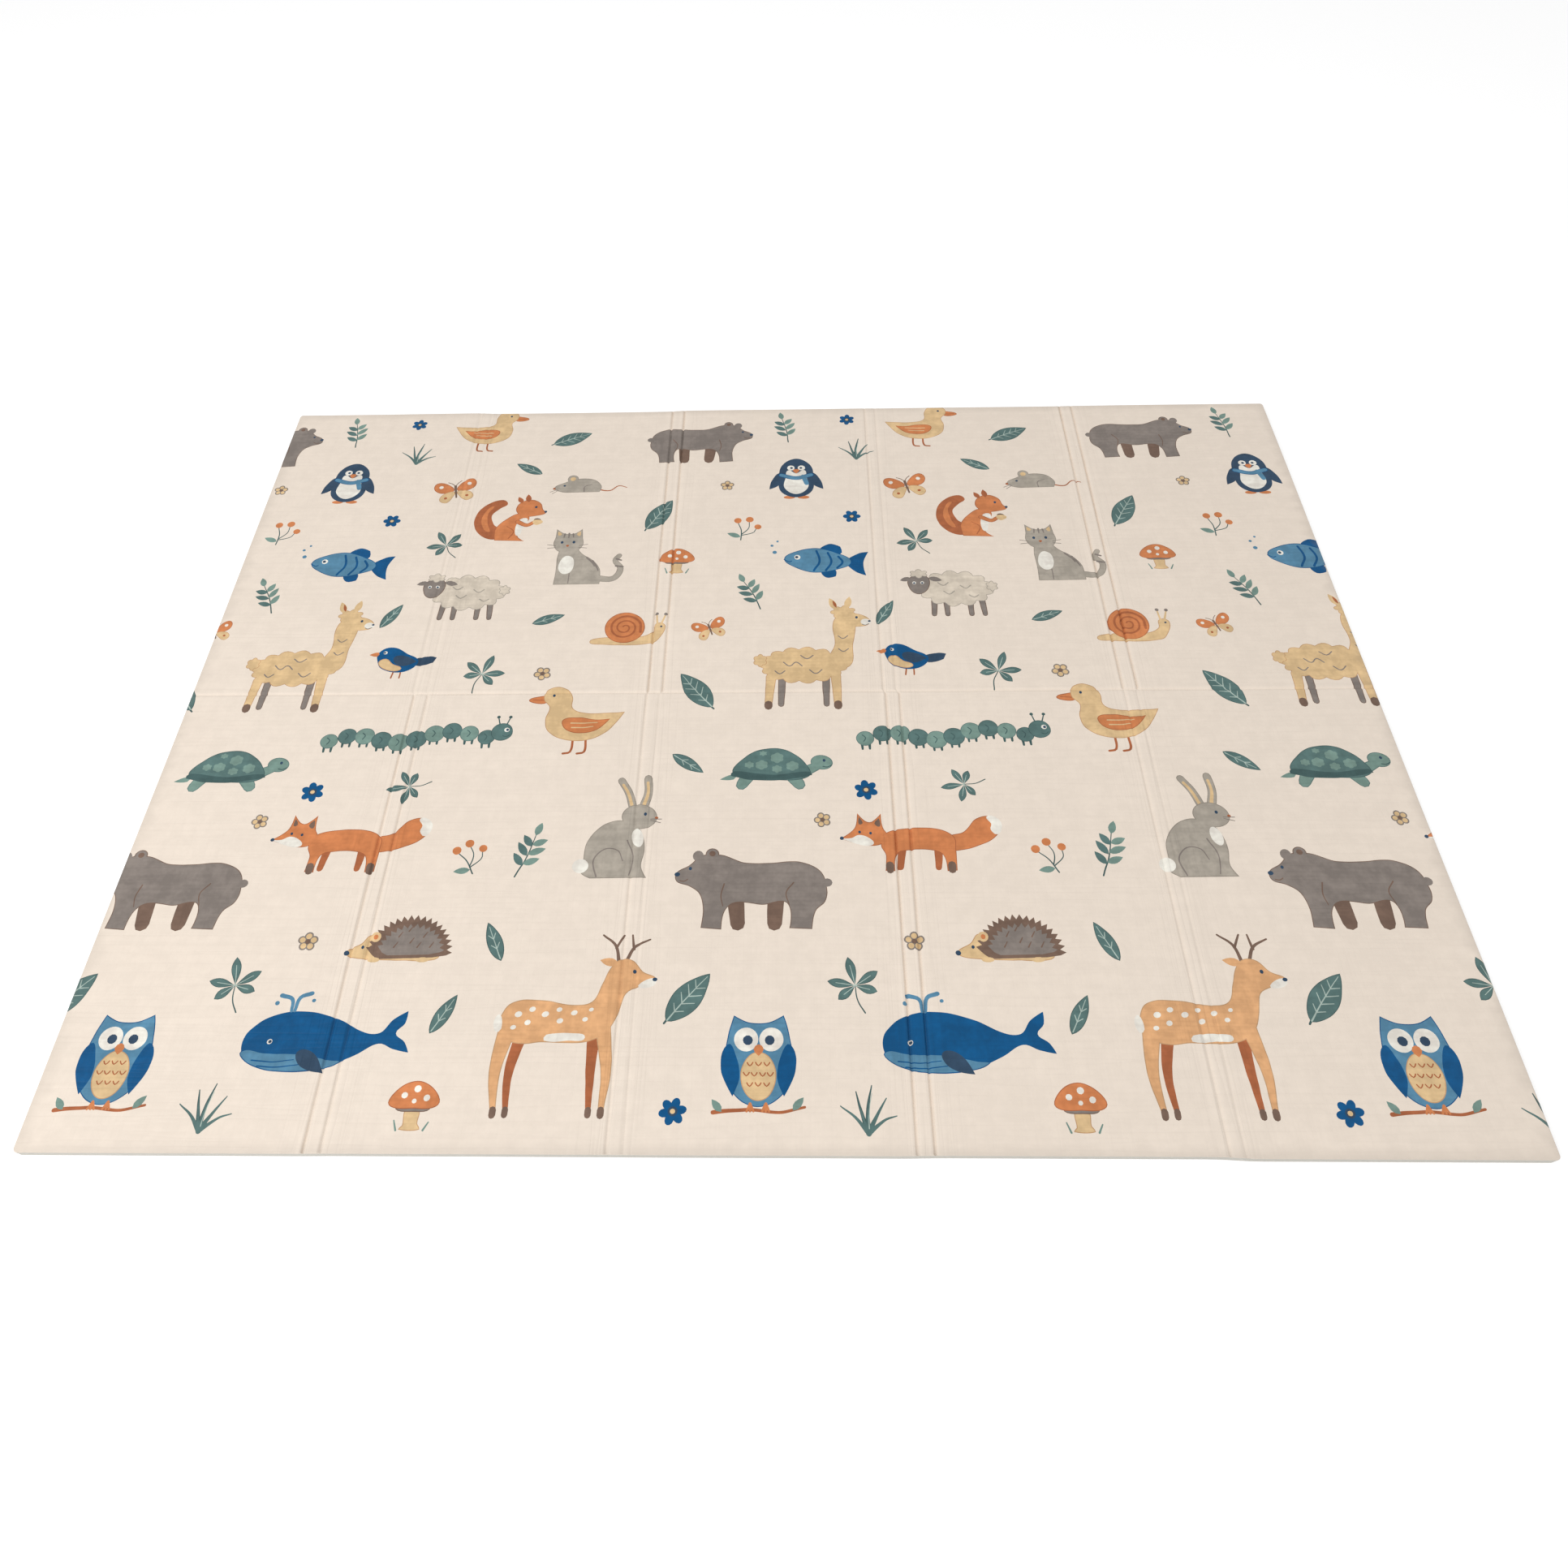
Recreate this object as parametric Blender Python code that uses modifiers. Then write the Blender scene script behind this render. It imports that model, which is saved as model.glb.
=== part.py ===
# Foldable foam play mat, opened out flat: five panels wide, two panels deep.
# Metres, +Z up. The origin is on the underside, under the middle of the mat.

import math
from collections import namedtuple

import bmesh
import bpy
from mathutils import Vector

# Driving dimensions
MAT_WIDTH = 2.000           # left to right, along X
MAT_DEPTH = 1.500           # front to back, along Y
THICKNESS = 0.015           # foam with its film
CORNER_RADIUS = 0.006       # the four corners, seen from above
CORNER_SEGMENTS = 3
RIM_ROUND = 0.0014          # rounding of the upper edge, where the film is drawn over
RIM_SEGMENTS = 2

# Pressed fold lines
GROOVE_HALF_WIDTH = 0.0026  # from the bottom of a groove to its lip
SHOULDER = 0.0100           # from the bottom of a groove to the level panel
LIP_RISE = 0.0003           # the film puffs up a little between lip and shoulder
CROSS_Y = 0.008             # the fold across the mat, a little behind the middle
CROSS_DEPTH = 0.0015
CROSS_BAND = 0.0120         # over this length a fold line steps from front to back course

# Grid of the panels between the folds
PANEL_COLUMNS = 4
PANEL_ROWS = 6

# Gentle unevenness of the panels
SWELL = 0.0004
SWELL_LENGTH_X = 0.47
SWELL_LENGTH_Y = 0.58

# Each fold is a pair of grooves. The left and right groove have an X of their own
# in the front and in the back row of panels, and a depth for each row: the folds
# that close towards the top face are pressed deeper than the others.
Fold = namedtuple("Fold", "name front_left front_right back_left back_right front_depth back_depth")
FOLDS = [
    Fold("first", -0.6145, -0.5910, -0.6170, -0.5940, 0.0040, 0.0018),
    Fold("second", -0.2170, -0.1955, -0.2150, -0.1905, 0.0020, 0.0036),
    Fold("third", 0.1865, 0.2095, 0.1830, 0.2040, 0.0040, 0.0018),
    Fold("fourth", 0.5855, 0.6055, 0.5845, 0.6085, 0.0018, 0.0036),
]

# How far the outer edge of each column of panels lies out of a true rectangle
EdgeOffset = namedtuple("EdgeOffset", "column back front")
EDGE_OFFSETS = [
    EdgeOffset(0, 0.0014, 0.0000),
    EdgeOffset(1, -0.0012, 0.0004),
    EdgeOffset(2, 0.0014, 0.0002),
    EdgeOffset(3, 0.0004, 0.0010),
    EdgeOffset(4, 0.0008, -0.0014),
]
SIDE_BOW = 0.0018           # the sides draw in by this at the cross fold
EDGE_BLEND = 0.060          # over this length one column's offset turns into the next

FILM_COLOR = (0.855, 0.775, 0.680, 1.0)
FILM_ROUGHNESS = 0.48


def smooth_step(value):
    clamped = min(1.0, max(0.0, value))
    return clamped * clamped * (3.0 - 2.0 * clamped)


def nominal_grooves():
    """X of each groove halfway between its front and its back course."""
    grooves = []
    for fold in FOLDS:
        grooves.append(0.5 * (fold.front_left + fold.back_left))
        grooves.append(0.5 * (fold.front_right + fold.back_right))
    return grooves


def back_share(y):
    """0 in the front row of panels, 1 in the back row."""
    return smooth_step((y - CROSS_Y) / CROSS_BAND + 0.5)


def interpolate(x, knots, values):
    if x <= knots[0]:
        return values[0]
    for left, right, low, high in zip(knots, knots[1:], values, values[1:]):
        if x <= right:
            return low + (high - low) * (x - left) / (right - left)
    return values[-1]


def groove_shift(x, y):
    """Sideways shift that carries the straight cuts onto the courses of the folds."""
    share = back_share(y)
    knots = [-0.5 * MAT_WIDTH]
    shifts = [0.0]
    for fold in FOLDS:
        left = fold.front_left + (fold.back_left - fold.front_left) * share
        right = fold.front_right + (fold.back_right - fold.front_right) * share
        knots.append(0.5 * (fold.front_left + fold.back_left))
        knots.append(0.5 * (fold.front_right + fold.back_right))
        shifts.append(left - knots[-2])
        shifts.append(right - knots[-1])
    knots.append(0.5 * MAT_WIDTH)
    shifts.append(0.0)
    return interpolate(x, knots, shifts)


def column_knots():
    """X where the offset of one column of panels begins and ends."""
    centres = []
    for fold in FOLDS:
        centres.append(0.25 * (fold.front_left + fold.front_right + fold.back_left + fold.back_right))
    return centres


def edge_offset(x, side):
    """Offset of the back or front edge at x, blended across each fold."""
    value = getattr(EDGE_OFFSETS[0], side)
    for centre, offset in zip(column_knots(), EDGE_OFFSETS[1:]):
        share = smooth_step((x - centre) / EDGE_BLEND + 0.5)
        value += (getattr(offset, side) - value) * share
    return value


def outline_shift(x, y):
    """Shift of a point in the plan, from a true rectangle to the real outline."""
    shift = Vector((0.0, 0.0))
    reach = abs(x) / (0.5 * MAT_WIDTH)
    span = (y - CROSS_Y) / (0.5 * MAT_DEPTH)
    shift.x = -math.copysign(SIDE_BOW, x) * reach ** 3 * math.exp(-(span / 0.45) ** 2)
    if y > CROSS_Y:
        shift.y = edge_offset(x, "back") * smooth_step(span)
    else:
        shift.y = edge_offset(x, "front") * smooth_step(-span)
    return shift


def groove_profile(distance, depth):
    """Height change across one groove: a V with a slightly raised lip beside it."""
    distance = abs(distance)
    if distance < GROOVE_HALF_WIDTH:
        return -depth * (1.0 - distance / GROOVE_HALF_WIDTH)
    if distance < SHOULDER:
        share = (distance - GROOVE_HALF_WIDTH) / (SHOULDER - GROOVE_HALF_WIDTH)
        return LIP_RISE * math.sin(math.pi * share)
    return 0.0


def top_height(x, y):
    """Height of the upper face over the cut at x, y."""
    height = THICKNESS
    height += SWELL * math.sin(2.0 * math.pi * x / SWELL_LENGTH_X + 0.7) * math.sin(
        2.0 * math.pi * y / SWELL_LENGTH_Y + 1.9
    )
    share = back_share(y)
    change = groove_profile(y - CROSS_Y, CROSS_DEPTH)
    for index, groove in enumerate(nominal_grooves()):
        fold = FOLDS[index // 2]
        depth = fold.front_depth + (fold.back_depth - fold.front_depth) * share
        across = groove_profile(x - groove, depth)
        change = min(change, across) if min(change, across) < 0.0 else max(change, across)
    return height + change


def spread(start, end, count):
    """Places that part a panel evenly into the given number of strips."""
    return [start + (end - start) * index / count for index in range(1, count)]


def column_places():
    """X of every cut that runs front to back."""
    grooves = nominal_grooves()
    places = []
    panel_start = -0.5 * MAT_WIDTH
    for left, right in zip(grooves[0::2], grooves[1::2]):
        places += spread(panel_start, left - SHOULDER, PANEL_COLUMNS)
        places += [left - SHOULDER, left - GROOVE_HALF_WIDTH, left, left + GROOVE_HALF_WIDTH]
        places.append(0.5 * (left + right))
        places += [right - GROOVE_HALF_WIDTH, right, right + GROOVE_HALF_WIDTH, right + SHOULDER]
        panel_start = right + SHOULDER
    return places + spread(panel_start, 0.5 * MAT_WIDTH, PANEL_COLUMNS)


def row_places():
    """Y of every cut that runs from side to side."""
    front_end = CROSS_Y - SHOULDER
    back_start = CROSS_Y + SHOULDER
    places = spread(-0.5 * MAT_DEPTH, front_end, PANEL_ROWS)
    places += [front_end, CROSS_Y - GROOVE_HALF_WIDTH, CROSS_Y, CROSS_Y + GROOVE_HALF_WIDTH, back_start]
    return places + spread(back_start, 0.5 * MAT_DEPTH, PANEL_ROWS)


def cut_across(mesh, point, normal):
    everything = mesh.verts[:] + mesh.edges[:] + mesh.faces[:]
    bmesh.ops.bisect_plane(mesh, geom=everything, plane_co=point, plane_no=normal, dist=1e-7)


def round_corners(mesh):
    upright = []
    for edge in mesh.edges:
        along = edge.verts[1].co - edge.verts[0].co
        if abs(along.z) > 0.5 * THICKNESS:
            upright.append(edge)
    bmesh.ops.bevel(
        mesh,
        geom=upright,
        offset=CORNER_RADIUS,
        offset_type="OFFSET",
        segments=CORNER_SEGMENTS,
        profile=0.5,
        affect="EDGES",
    )


def mark_rim(mesh):
    """Give the edges between the upper face and the side their bevel weight."""
    weight = mesh.edges.layers.float.new("bevel_weight_edge")
    for edge in mesh.edges:
        if len(edge.link_faces) != 2:
            continue
        upward = [abs(face.normal.z) > 0.7 for face in edge.link_faces]
        high = min(vert.co.z for vert in edge.verts) > 0.5 * THICKNESS
        if high and upward[0] != upward[1]:
            edge[weight] = 1.0


def shape_mat(mesh):
    """Press the folds into the upper face and draw the outline to its real course."""
    for vert in mesh.verts:
        x, y, z = vert.co
        if z > 0.5 * THICKNESS:
            vert.co.z = top_height(x, y)
        outline = outline_shift(x, y)
        vert.co.x = x + groove_shift(x, y) + outline.x
        vert.co.y = y + outline.y


def film_material():
    material = bpy.data.materials.new("printed_film")
    material.use_nodes = True
    shader = material.node_tree.nodes["Principled BSDF"]
    shader.inputs["Base Color"].default_value = FILM_COLOR
    shader.inputs["Roughness"].default_value = FILM_ROUGHNESS
    shader.inputs["Metallic"].default_value = 0.0
    material.diffuse_color = FILM_COLOR
    return material


def make_mat(collection):
    mesh = bmesh.new()
    bmesh.ops.create_cube(mesh, size=1.0)
    bmesh.ops.scale(mesh, vec=(MAT_WIDTH, MAT_DEPTH, THICKNESS), verts=mesh.verts)
    bmesh.ops.translate(mesh, vec=(0.0, 0.0, 0.5 * THICKNESS), verts=mesh.verts)
    round_corners(mesh)
    for x in column_places():
        cut_across(mesh, (x, 0.0, 0.0), (1.0, 0.0, 0.0))
    for y in row_places():
        cut_across(mesh, (0.0, y, 0.0), (0.0, 1.0, 0.0))
    mesh.normal_update()
    mark_rim(mesh)
    shape_mat(mesh)
    bmesh.ops.recalc_face_normals(mesh, faces=mesh.faces)

    data = bpy.data.meshes.new("play_mat")
    mesh.to_mesh(data)
    mesh.free()
    data.materials.append(film_material())
    mat = bpy.data.objects.new("play_mat", data)
    collection.objects.link(mat)

    rim = mat.modifiers.new("rim", "BEVEL")
    rim.limit_method = "WEIGHT"
    rim.width = RIM_ROUND
    rim.segments = RIM_SEGMENTS
    rim.use_clamp_overlap = True
    data.shade_smooth()
    data.set_sharp_from_angle(angle=math.radians(40.0))
    return mat


def main():
    for existing in list(bpy.data.objects):
        bpy.data.objects.remove(existing, do_unlink=True)
    collection = bpy.data.collections.new("baby_play_mat")
    bpy.context.scene.collection.children.link(collection)
    make_mat(collection)


main()
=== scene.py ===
import math
import random
from collections import namedtuple
from itertools import groupby

import bpy
import numpy
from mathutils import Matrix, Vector, noise
from mathutils.geometry import delaunay_2d_cdt


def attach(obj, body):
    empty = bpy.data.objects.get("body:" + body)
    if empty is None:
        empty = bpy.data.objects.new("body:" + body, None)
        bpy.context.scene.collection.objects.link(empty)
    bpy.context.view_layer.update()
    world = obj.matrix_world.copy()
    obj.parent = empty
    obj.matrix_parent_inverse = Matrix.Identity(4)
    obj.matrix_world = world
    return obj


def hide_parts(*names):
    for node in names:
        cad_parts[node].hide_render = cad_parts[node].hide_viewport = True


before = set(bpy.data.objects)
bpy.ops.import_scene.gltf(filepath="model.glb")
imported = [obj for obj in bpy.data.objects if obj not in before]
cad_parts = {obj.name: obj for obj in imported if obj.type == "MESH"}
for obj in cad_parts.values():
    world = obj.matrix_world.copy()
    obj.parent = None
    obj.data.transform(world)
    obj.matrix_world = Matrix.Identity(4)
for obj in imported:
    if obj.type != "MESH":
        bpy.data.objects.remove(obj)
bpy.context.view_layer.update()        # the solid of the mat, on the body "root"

print("frame loaded")

# Print shapes start here. All lengths of the print are in millimetres.

printSettings = {
    "segment": 3.6,      # length of one straight piece of a round outline
    "fewest": 9,         # points that even the smallest round shape has
    "most": 64,
    "capSteps": 4,       # steps of the round end of a line
    "rim": 1.1,          # width of the darker rim round a shape
    "rimArea": 230.0,    # smaller shapes have none
    "rimInks": {"sand": "clay", "tan": "clay", "orange": "rust", "grey": "stone", "taupe": "umber",
                "teal": "pine", "leaf": "teal", "sky": "blue", "wool": "grey"},
}


def pieceCount(length):
    count = round(length / printSettings["segment"])
    return max(printSettings["fewest"], min(printSettings["most"], count))


def oval(x, y, across, high, turn=0.0):
    a, b = 0.5 * across, 0.5 * high
    count = pieceCount(math.pi * (a + b))
    c, s = math.cos(math.radians(turn)), math.sin(math.radians(turn))
    points = []
    for i in range(count):
        angle = 2 * math.pi * i / count
        u, v = a * math.cos(angle), b * math.sin(angle)
        points.append((x + u * c - v * s, y + u * s + v * c))
    return points


def dot(x, y, size):
    return oval(x, y, size, size)


# A curve through points. A point with a third value is a corner, the others are rounded.
def curveThrough(points, closed):
    count = len(points)
    spots = [Vector(p[:2]) for p in points]
    corner = [len(p) > 2 for p in points]
    headings = []
    for i, spot in enumerate(spots):
        before = spots[i - 1] if closed or i else spot
        after = spots[(i + 1) % count] if closed or i < count - 1 else spot
        headings.append(Vector((0, 0)) if corner[i] else (after - before).normalized())
    result = []
    for i in range(count if closed else count - 1):
        p, q = spots[i], spots[(i + 1) % count]
        m, n = headings[i], headings[(i + 1) % count]
        length = (q - p).length
        steps = max(2, round(length / printSettings["segment"]))
        if corner[i] and corner[(i + 1) % count]:
            steps = 1
        for k in range(steps):
            t = k / steps
            tt, ttt = t * t, t * t * t
            spot = p * (2 * ttt - 3 * tt + 1) + q * (3 * tt - 2 * ttt)
            spot += m * (length * (ttt - 2 * tt + t)) + n * (length * (ttt - tt))
            result.append((spot.x, spot.y))
    if not closed:
        result.append(tuple(spots[-1]))
    return result


def loop(*points):
    return curveThrough(points, True)


# A drawn line with round ends, whose width goes from one end's to the other's.
def line(points, start, end=None):
    end = start if end is None else end
    path = [Vector(p) for p in curveThrough(points, False)]
    last = len(path) - 1
    left, right = [], []
    for i, spot in enumerate(path):
        along = (path[min(last, i + 1)] - path[max(0, i - 1)]).normalized()
        side = Vector((-along.y, along.x)) * 0.5 * (start + (end - start) * i / last)
        left.append(spot + side)
        right.append(spot - side)
    caps = printSettings["capSteps"]
    head, tail = [], []
    for k in range(1, caps):
        angle = math.pi * k / caps
        for store, spot, edge in ((head, path[-1], left[-1]), (tail, path[0], right[0])):
            arm = edge - spot
            c, s = math.cos(-angle), math.sin(-angle)
            store.append(spot + Vector((arm.x * c - arm.y * s, arm.x * s + arm.y * c)))
    outline = left + head + right[::-1] + tail
    return [tuple(spot) for spot in outline]


# A pointed leaf blade that starts at x, y and grows along turn.
def blade(x, y, length, width, turn, fullest=0.45):
    count = max(4, round(length / printSettings["segment"] / 1.3))
    c, s = math.cos(math.radians(turn)), math.sin(math.radians(turn))
    power = math.log(0.5) / math.log(fullest)
    upper, lower = [], []
    for i in range(count + 1):
        t = i / count
        half = 0.5 * width * math.sin(math.pi * t ** power) ** 0.85 if 0 < i < count else 0.0
        upper.append((x + t * length * c - half * s, y + t * length * s + half * c))
        lower.append((x + t * length * c + half * s, y + t * length * s - half * c))
    return lower + upper[-2:0:-1]


# A rim of bumps or spikes round an ellipse, between two angles.
def bumpy(x, y, across, high, bumps, depth, start=0.0, end=360.0, sharp=False):
    steps = 2 if sharp else 5
    points = []
    for i in range(bumps * steps):
        angle = math.radians(start + (end - start) * i / (bumps * steps))
        phase = (i % steps) / steps
        out = depth * ((1.0 if i % 2 else 0.0) if sharp else math.sin(math.pi * phase))
        points.append((x + (0.5 * across + out) * math.cos(angle), y + (0.5 * high + out) * math.sin(angle)))
    return points


def bear():
    return [
        ("umber", line([(30, 52), (26, 9)], 24, 20)),
        ("umber", line([(-26, 52), (-24, 9)], 24, 20)),
        ("taupe", oval(64, 117, 19, 19)),
        ("taupe", oval(84, 114, 16, 17)),
        ("taupe", loop((-97, 60), (-88, 90), (-58, 105), (-18, 103), (20, 104), (50, 116), (78, 115), (96, 99),
                       (113, 88), (113, 74), (94, 66), (80, 54), (74, 30), (76, 3, 1), (48, 1, 1), (44, 28),
                       (30, 41), (-8, 38), (-38, 42), (-46, 26), (-44, 3, 1), (-75, 1, 1), (-80, 28), (-93, 42))),
        ("taupe", oval(-97, 72, 14, 13)),
        ("umber", oval(64, 118, 9, 9)),
        ("navy", oval(94, 94, 4.6, 5.4)),
        ("navy", oval(112, 85, 8, 7)),
        ("umber", line([(108, 75), (102, 74), (97, 77)], 1.6)),
        ("umber", line([(46, 70), (50, 52), (47, 36)], 2.0, 1.2)),
        ("umber", line([(-50, 72), (-40, 56), (-44, 38)], 2.0, 1.2)),
    ]


def fox():
    return [
        ("rust", line([(-14, 40), (-18, 8)], 12, 9)),
        ("rust", line([(38, 40), (36, 8)], 13, 9)),
        ("orange", loop((52, 58), (76, 66), (96, 88), (118, 93), (132, 80), (122, 58), (98, 44), (72, 36), (52, 38))),
        ("cream", loop((112, 92), (124, 92), (133, 79), (125, 62), (116, 70), (118, 80))),
        ("orange", loop((-44, 44), (-38, 64), (0, 73), (42, 71), (62, 58), (63, 36), (62, 3, 1), (48, 2, 1), (44, 28),
                        (30, 36), (-6, 36), (-22, 30), (-26, 2, 1), (-40, 3, 1), (-38, 28))),
        ("orange", loop((-33, 58), (-40, 74), (-42, 98, 1), (-56, 84), (-66, 86), (-76, 99, 1), (-80, 76), (-88, 66),
                        (-102, 56, 1), (-84, 49), (-62, 44), (-44, 46))),
        ("cream", loop((-101, 56, 1), (-86, 57), (-76, 62), (-62, 58), (-54, 48), (-66, 44), (-84, 49))),
        ("umber", loop((-45, 90, 1), (-52, 81), (-44, 76))),
        ("umber", loop((-74, 92, 1), (-75, 80), (-69, 82))),
        ("umber", line([(-33, 12), (-33, 4)], 12, 11)),
        ("umber", line([(55, 12), (55, 4)], 12, 11)),
        ("navy", dot(-100, 56.5, 6)),
        ("navy", oval(-74, 67, 4, 5)),
        ("navy", oval(-58, 65, 4, 5)),
    ]


def rabbit():
    return [
        ("grey", line([(16, 112), (8, 138), (-4, 158)], 12, 11)),
        ("sand", line([(14, 116), (7, 138), (-1, 151)], 4.5, 4)),
        ("grey", line([(30, 112), (36, 138), (34, 162)], 13, 12)),
        ("sand", line([(31, 117), (35.5, 138), (34, 155)], 5, 4)),
        ("grey", loop((-46, 24), (-44, 56), (-24, 84), (4, 92), (28, 78), (37, 48), (34, 18), (42, 2, 1), (-34, 1, 1),
                      (-48, 10))),
        ("grey", oval(26, 98, 50, 40, -8)),
        ("cream", dot(-49, 20, 22)),
        ("taupe", line([(-26, 4), (-32, 28), (-18, 46), (0, 44), (8, 28)], 2.2, 1.4)),
        ("taupe", line([(12, 60), (22, 34), (18, 6)], 2.0, 1.4)),
        ("cream", oval(26, 64, 16, 30, 12)),
        ("navy", oval(34, 102, 4.6, 5.6)),
        ("rust", oval(50, 96, 5, 4)),
        ("taupe", line([(42, 92), (56, 88)], 1.2)),
        ("taupe", line([(42, 94), (57, 94)], 1.2)),
    ]


def hedgehog():
    shapes = [
        ("sand", loop((-42, 38), (-54, 25), (-70, 15), (-68, 8), (-48, 4), (0, 2), (44, 3), (50, 14), (30, 30))),
        ("umber", bumpy(8, 12, 98, 92, 19, 7, -4, 176, True) + [(-38, 10), (-30, 4), (40, 6)]),
        ("taupe", bumpy(10, 12, 78, 72, 15, 6, 0, 172, True) + [(-26, 12), (-18, 8), (34, 9)]),
        ("sand", oval(-37, 34, 13, 14)),
        ("orange", oval(-37, 34, 6, 7)),
        ("navy", dot(-70, 12, 7)),
        ("navy", oval(-51, 20, 4, 5)),
        ("sand", oval(-34, 3, 16, 7)),
        ("sand", oval(28, 3, 17, 7)),
    ]
    for x, y in ((-8, 34), (8, 26), (24, 34), (4, 42), (18, 20), (34, 20), (-12, 20)):
        shapes.append(("umber", line([(x, y), (x + 4, y + 7)], 2.0, 1.2)))
    return shapes


def owl():
    shapes = [
        ("rust", line([(-52, -6), (-10, -3), (24, -6), (54, 0)], 5, 3)),
        ("leaf", blade(40, -4, 20, 9, 50)),
        ("leaf", blade(-42, -6, 19, 9, 128)),
        ("sky", loop((-30, 110, 1), (-12, 101), (12, 101), (30, 110, 1), (37, 84), (40, 52), (30, 16), (0, 0), (-30, 16),
                     (-40, 52), (-37, 84))),
        ("blue", loop((-37, 74), (-44, 44), (-30, 12, 1), (-22, 34), (-26, 58))),
        ("blue", loop((37, 74), (44, 44), (30, 12, 1), (22, 34), (26, 58))),
        ("sand", oval(0, 36, 42, 58)),
        ("cream", dot(-15, 80, 29)),
        ("cream", dot(15, 80, 29)),
        ("navy", dot(-13, 79, 12)),
        ("navy", dot(13, 79, 12)),
        ("orange", loop((0, 74), (-6, 68), (0, 60, 1), (6, 68))),
    ]
    for row, (y, places) in enumerate(((50, (-10, 0, 10)), (38, (-14, -5, 5, 14)), (26, (-10, 0, 10)))):
        for x in places:
            shapes.append(("rust", line([(x - 3.4, y + 2), (x, y - 2), (x + 3.4, y + 2)], 1.5)))
    for x in (-9, 9):
        for lean in (-4, 0, 4):
            shapes.append(("orange", line([(x, 4), (x + lean, -5)], 3.2, 2.6)))
    return shapes


def whale():
    return [
        ("blue", loop((-92, 32), (-86, 54), (-58, 72), (-16, 74), (26, 60), (58, 42), (78, 40), (92, 56), (110, 66, 1),
                      (108, 50), (98, 38), (110, 26), (116, 12, 1), (96, 18), (78, 26), (48, 12), (4, -2), (-46, 0),
                      (-80, 12))),
        ("sky", loop((-91, 28), (-60, 24), (-18, 20), (20, 10), (34, 6), (4, -2), (-46, 0), (-80, 12))),
        ("blue", line([(-76, 16), (-50, 12), (-24, 13)], 1.8, 1.0)),
        ("blue", line([(-68, 8), (-42, 5), (-12, 7)], 1.8, 1.0)),
        ("navy", loop((-22, 22), (-8, 24), (6, 12), (14, -6, 1), (-4, -2), (-18, 8))),
        ("cream", dot(-58, 38, 7)),
        ("navy", dot(-57.5, 38, 4.4)),
        ("sky", line([(-38, 76), (-40, 92), (-54, 98)], 4, 6)),
        ("sky", line([(-34, 76), (-30, 93), (-16, 98)], 4, 6)),
        ("sky", dot(-58, 88, 6)),
        ("sky", dot(-12, 88, 5)),
    ]


def turtle():
    shapes = [
        ("leaf", line([(-44, 24), (-66, 36)], 18, 14)),
        ("leaf", oval(-72, 42, 32, 25, 12)),
        ("leaf", line([(-30, 18), (-40, 4)], 20, 17)),
        ("leaf", line([(34, 18), (42, 4)], 20, 17)),
        ("leaf", blade(50, 18, 24, 9, -12, 0.3)),
        ("teal", loop((-54, 18), (-46, 44), (-20, 64), (10, 66), (38, 52), (54, 22), (0, 12))),
        ("pine", loop((-58, 20), (-54, 26), (0, 21), (54, 27), (58, 19), (0, 11))),
    ]
    for x, y, across in ((-30, 36, 19), (-8, 50, 22), (14, 38, 21), (32, 38, 14), (-8, 31, 15), (12, 58, 11)):
        shapes.append(("leaf", bumpy(x, y, across - 3, across - 5, 6, 1.6)))
    shapes.append(("navy", oval(-76, 45, 4.2, 5)))
    shapes.append(("pine", line([(-86, 37), (-80, 34), (-74, 35)], 1.5)))
    return shapes


def duck():
    return [
        ("rust", line([(-6, 12), (-8, -12), (-18, -15)], 3.4)),
        ("rust", line([(12, 12), (12, -12), (2, -15)], 3.4)),
        ("orange", loop((-50, 86), (-64, 86), (-78, 80), (-70, 74), (-52, 74))),
        ("sand", loop((-14, 84), (-22, 98), (-38, 104), (-54, 96), (-56, 80), (-46, 66), (-50, 46), (-44, 24), (-20, 9),
                      (14, 8), (40, 22), (54, 40), (64, 58, 1), (38, 56), (8, 56), (-12, 64))),
        ("orange", loop((-24, 44), (0, 48), (24, 44), (44, 46, 1), (26, 26), (0, 20), (-20, 28))),
        ("sand", line([(-12, 38), (8, 38), (26, 39)], 2.2, 1.4)),
        ("sand", line([(-10, 30), (6, 30), (20, 32)], 2.2, 1.4)),
        ("navy", oval(-42, 88, 4.4, 5.2)),
        ("rust", line([(-72, 80), (-56, 79)], 1.4)),
    ]


def snail():
    turns = []
    for i in range(22):
        angle = math.radians(200 - 42 * i)
        reach = 26 * (1 - i / 24)
        turns.append((10 + reach * math.cos(angle), 36 + reach * math.sin(angle)))
    return [
        ("sand", loop((-44, 46), (-52, 40), (-50, 24), (-34, 4), (44, 2), (62, 8), (44, 16), (-16, 18), (-34, 28),
                      (-36, 42))),
        ("sand", line([(-46, 44), (-52, 62)], 3.2, 2.4)),
        ("sand", line([(-40, 44), (-38, 63)], 3.2, 2.4)),
        ("taupe", dot(-52, 63, 6)),
        ("taupe", dot(-38, 64, 6)),
        ("orange", dot(10, 36, 62)),
        ("rust", line(turns, 4.2, 2.4)),
        ("navy", dot(-46, 38, 3.6)),
    ]


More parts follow.
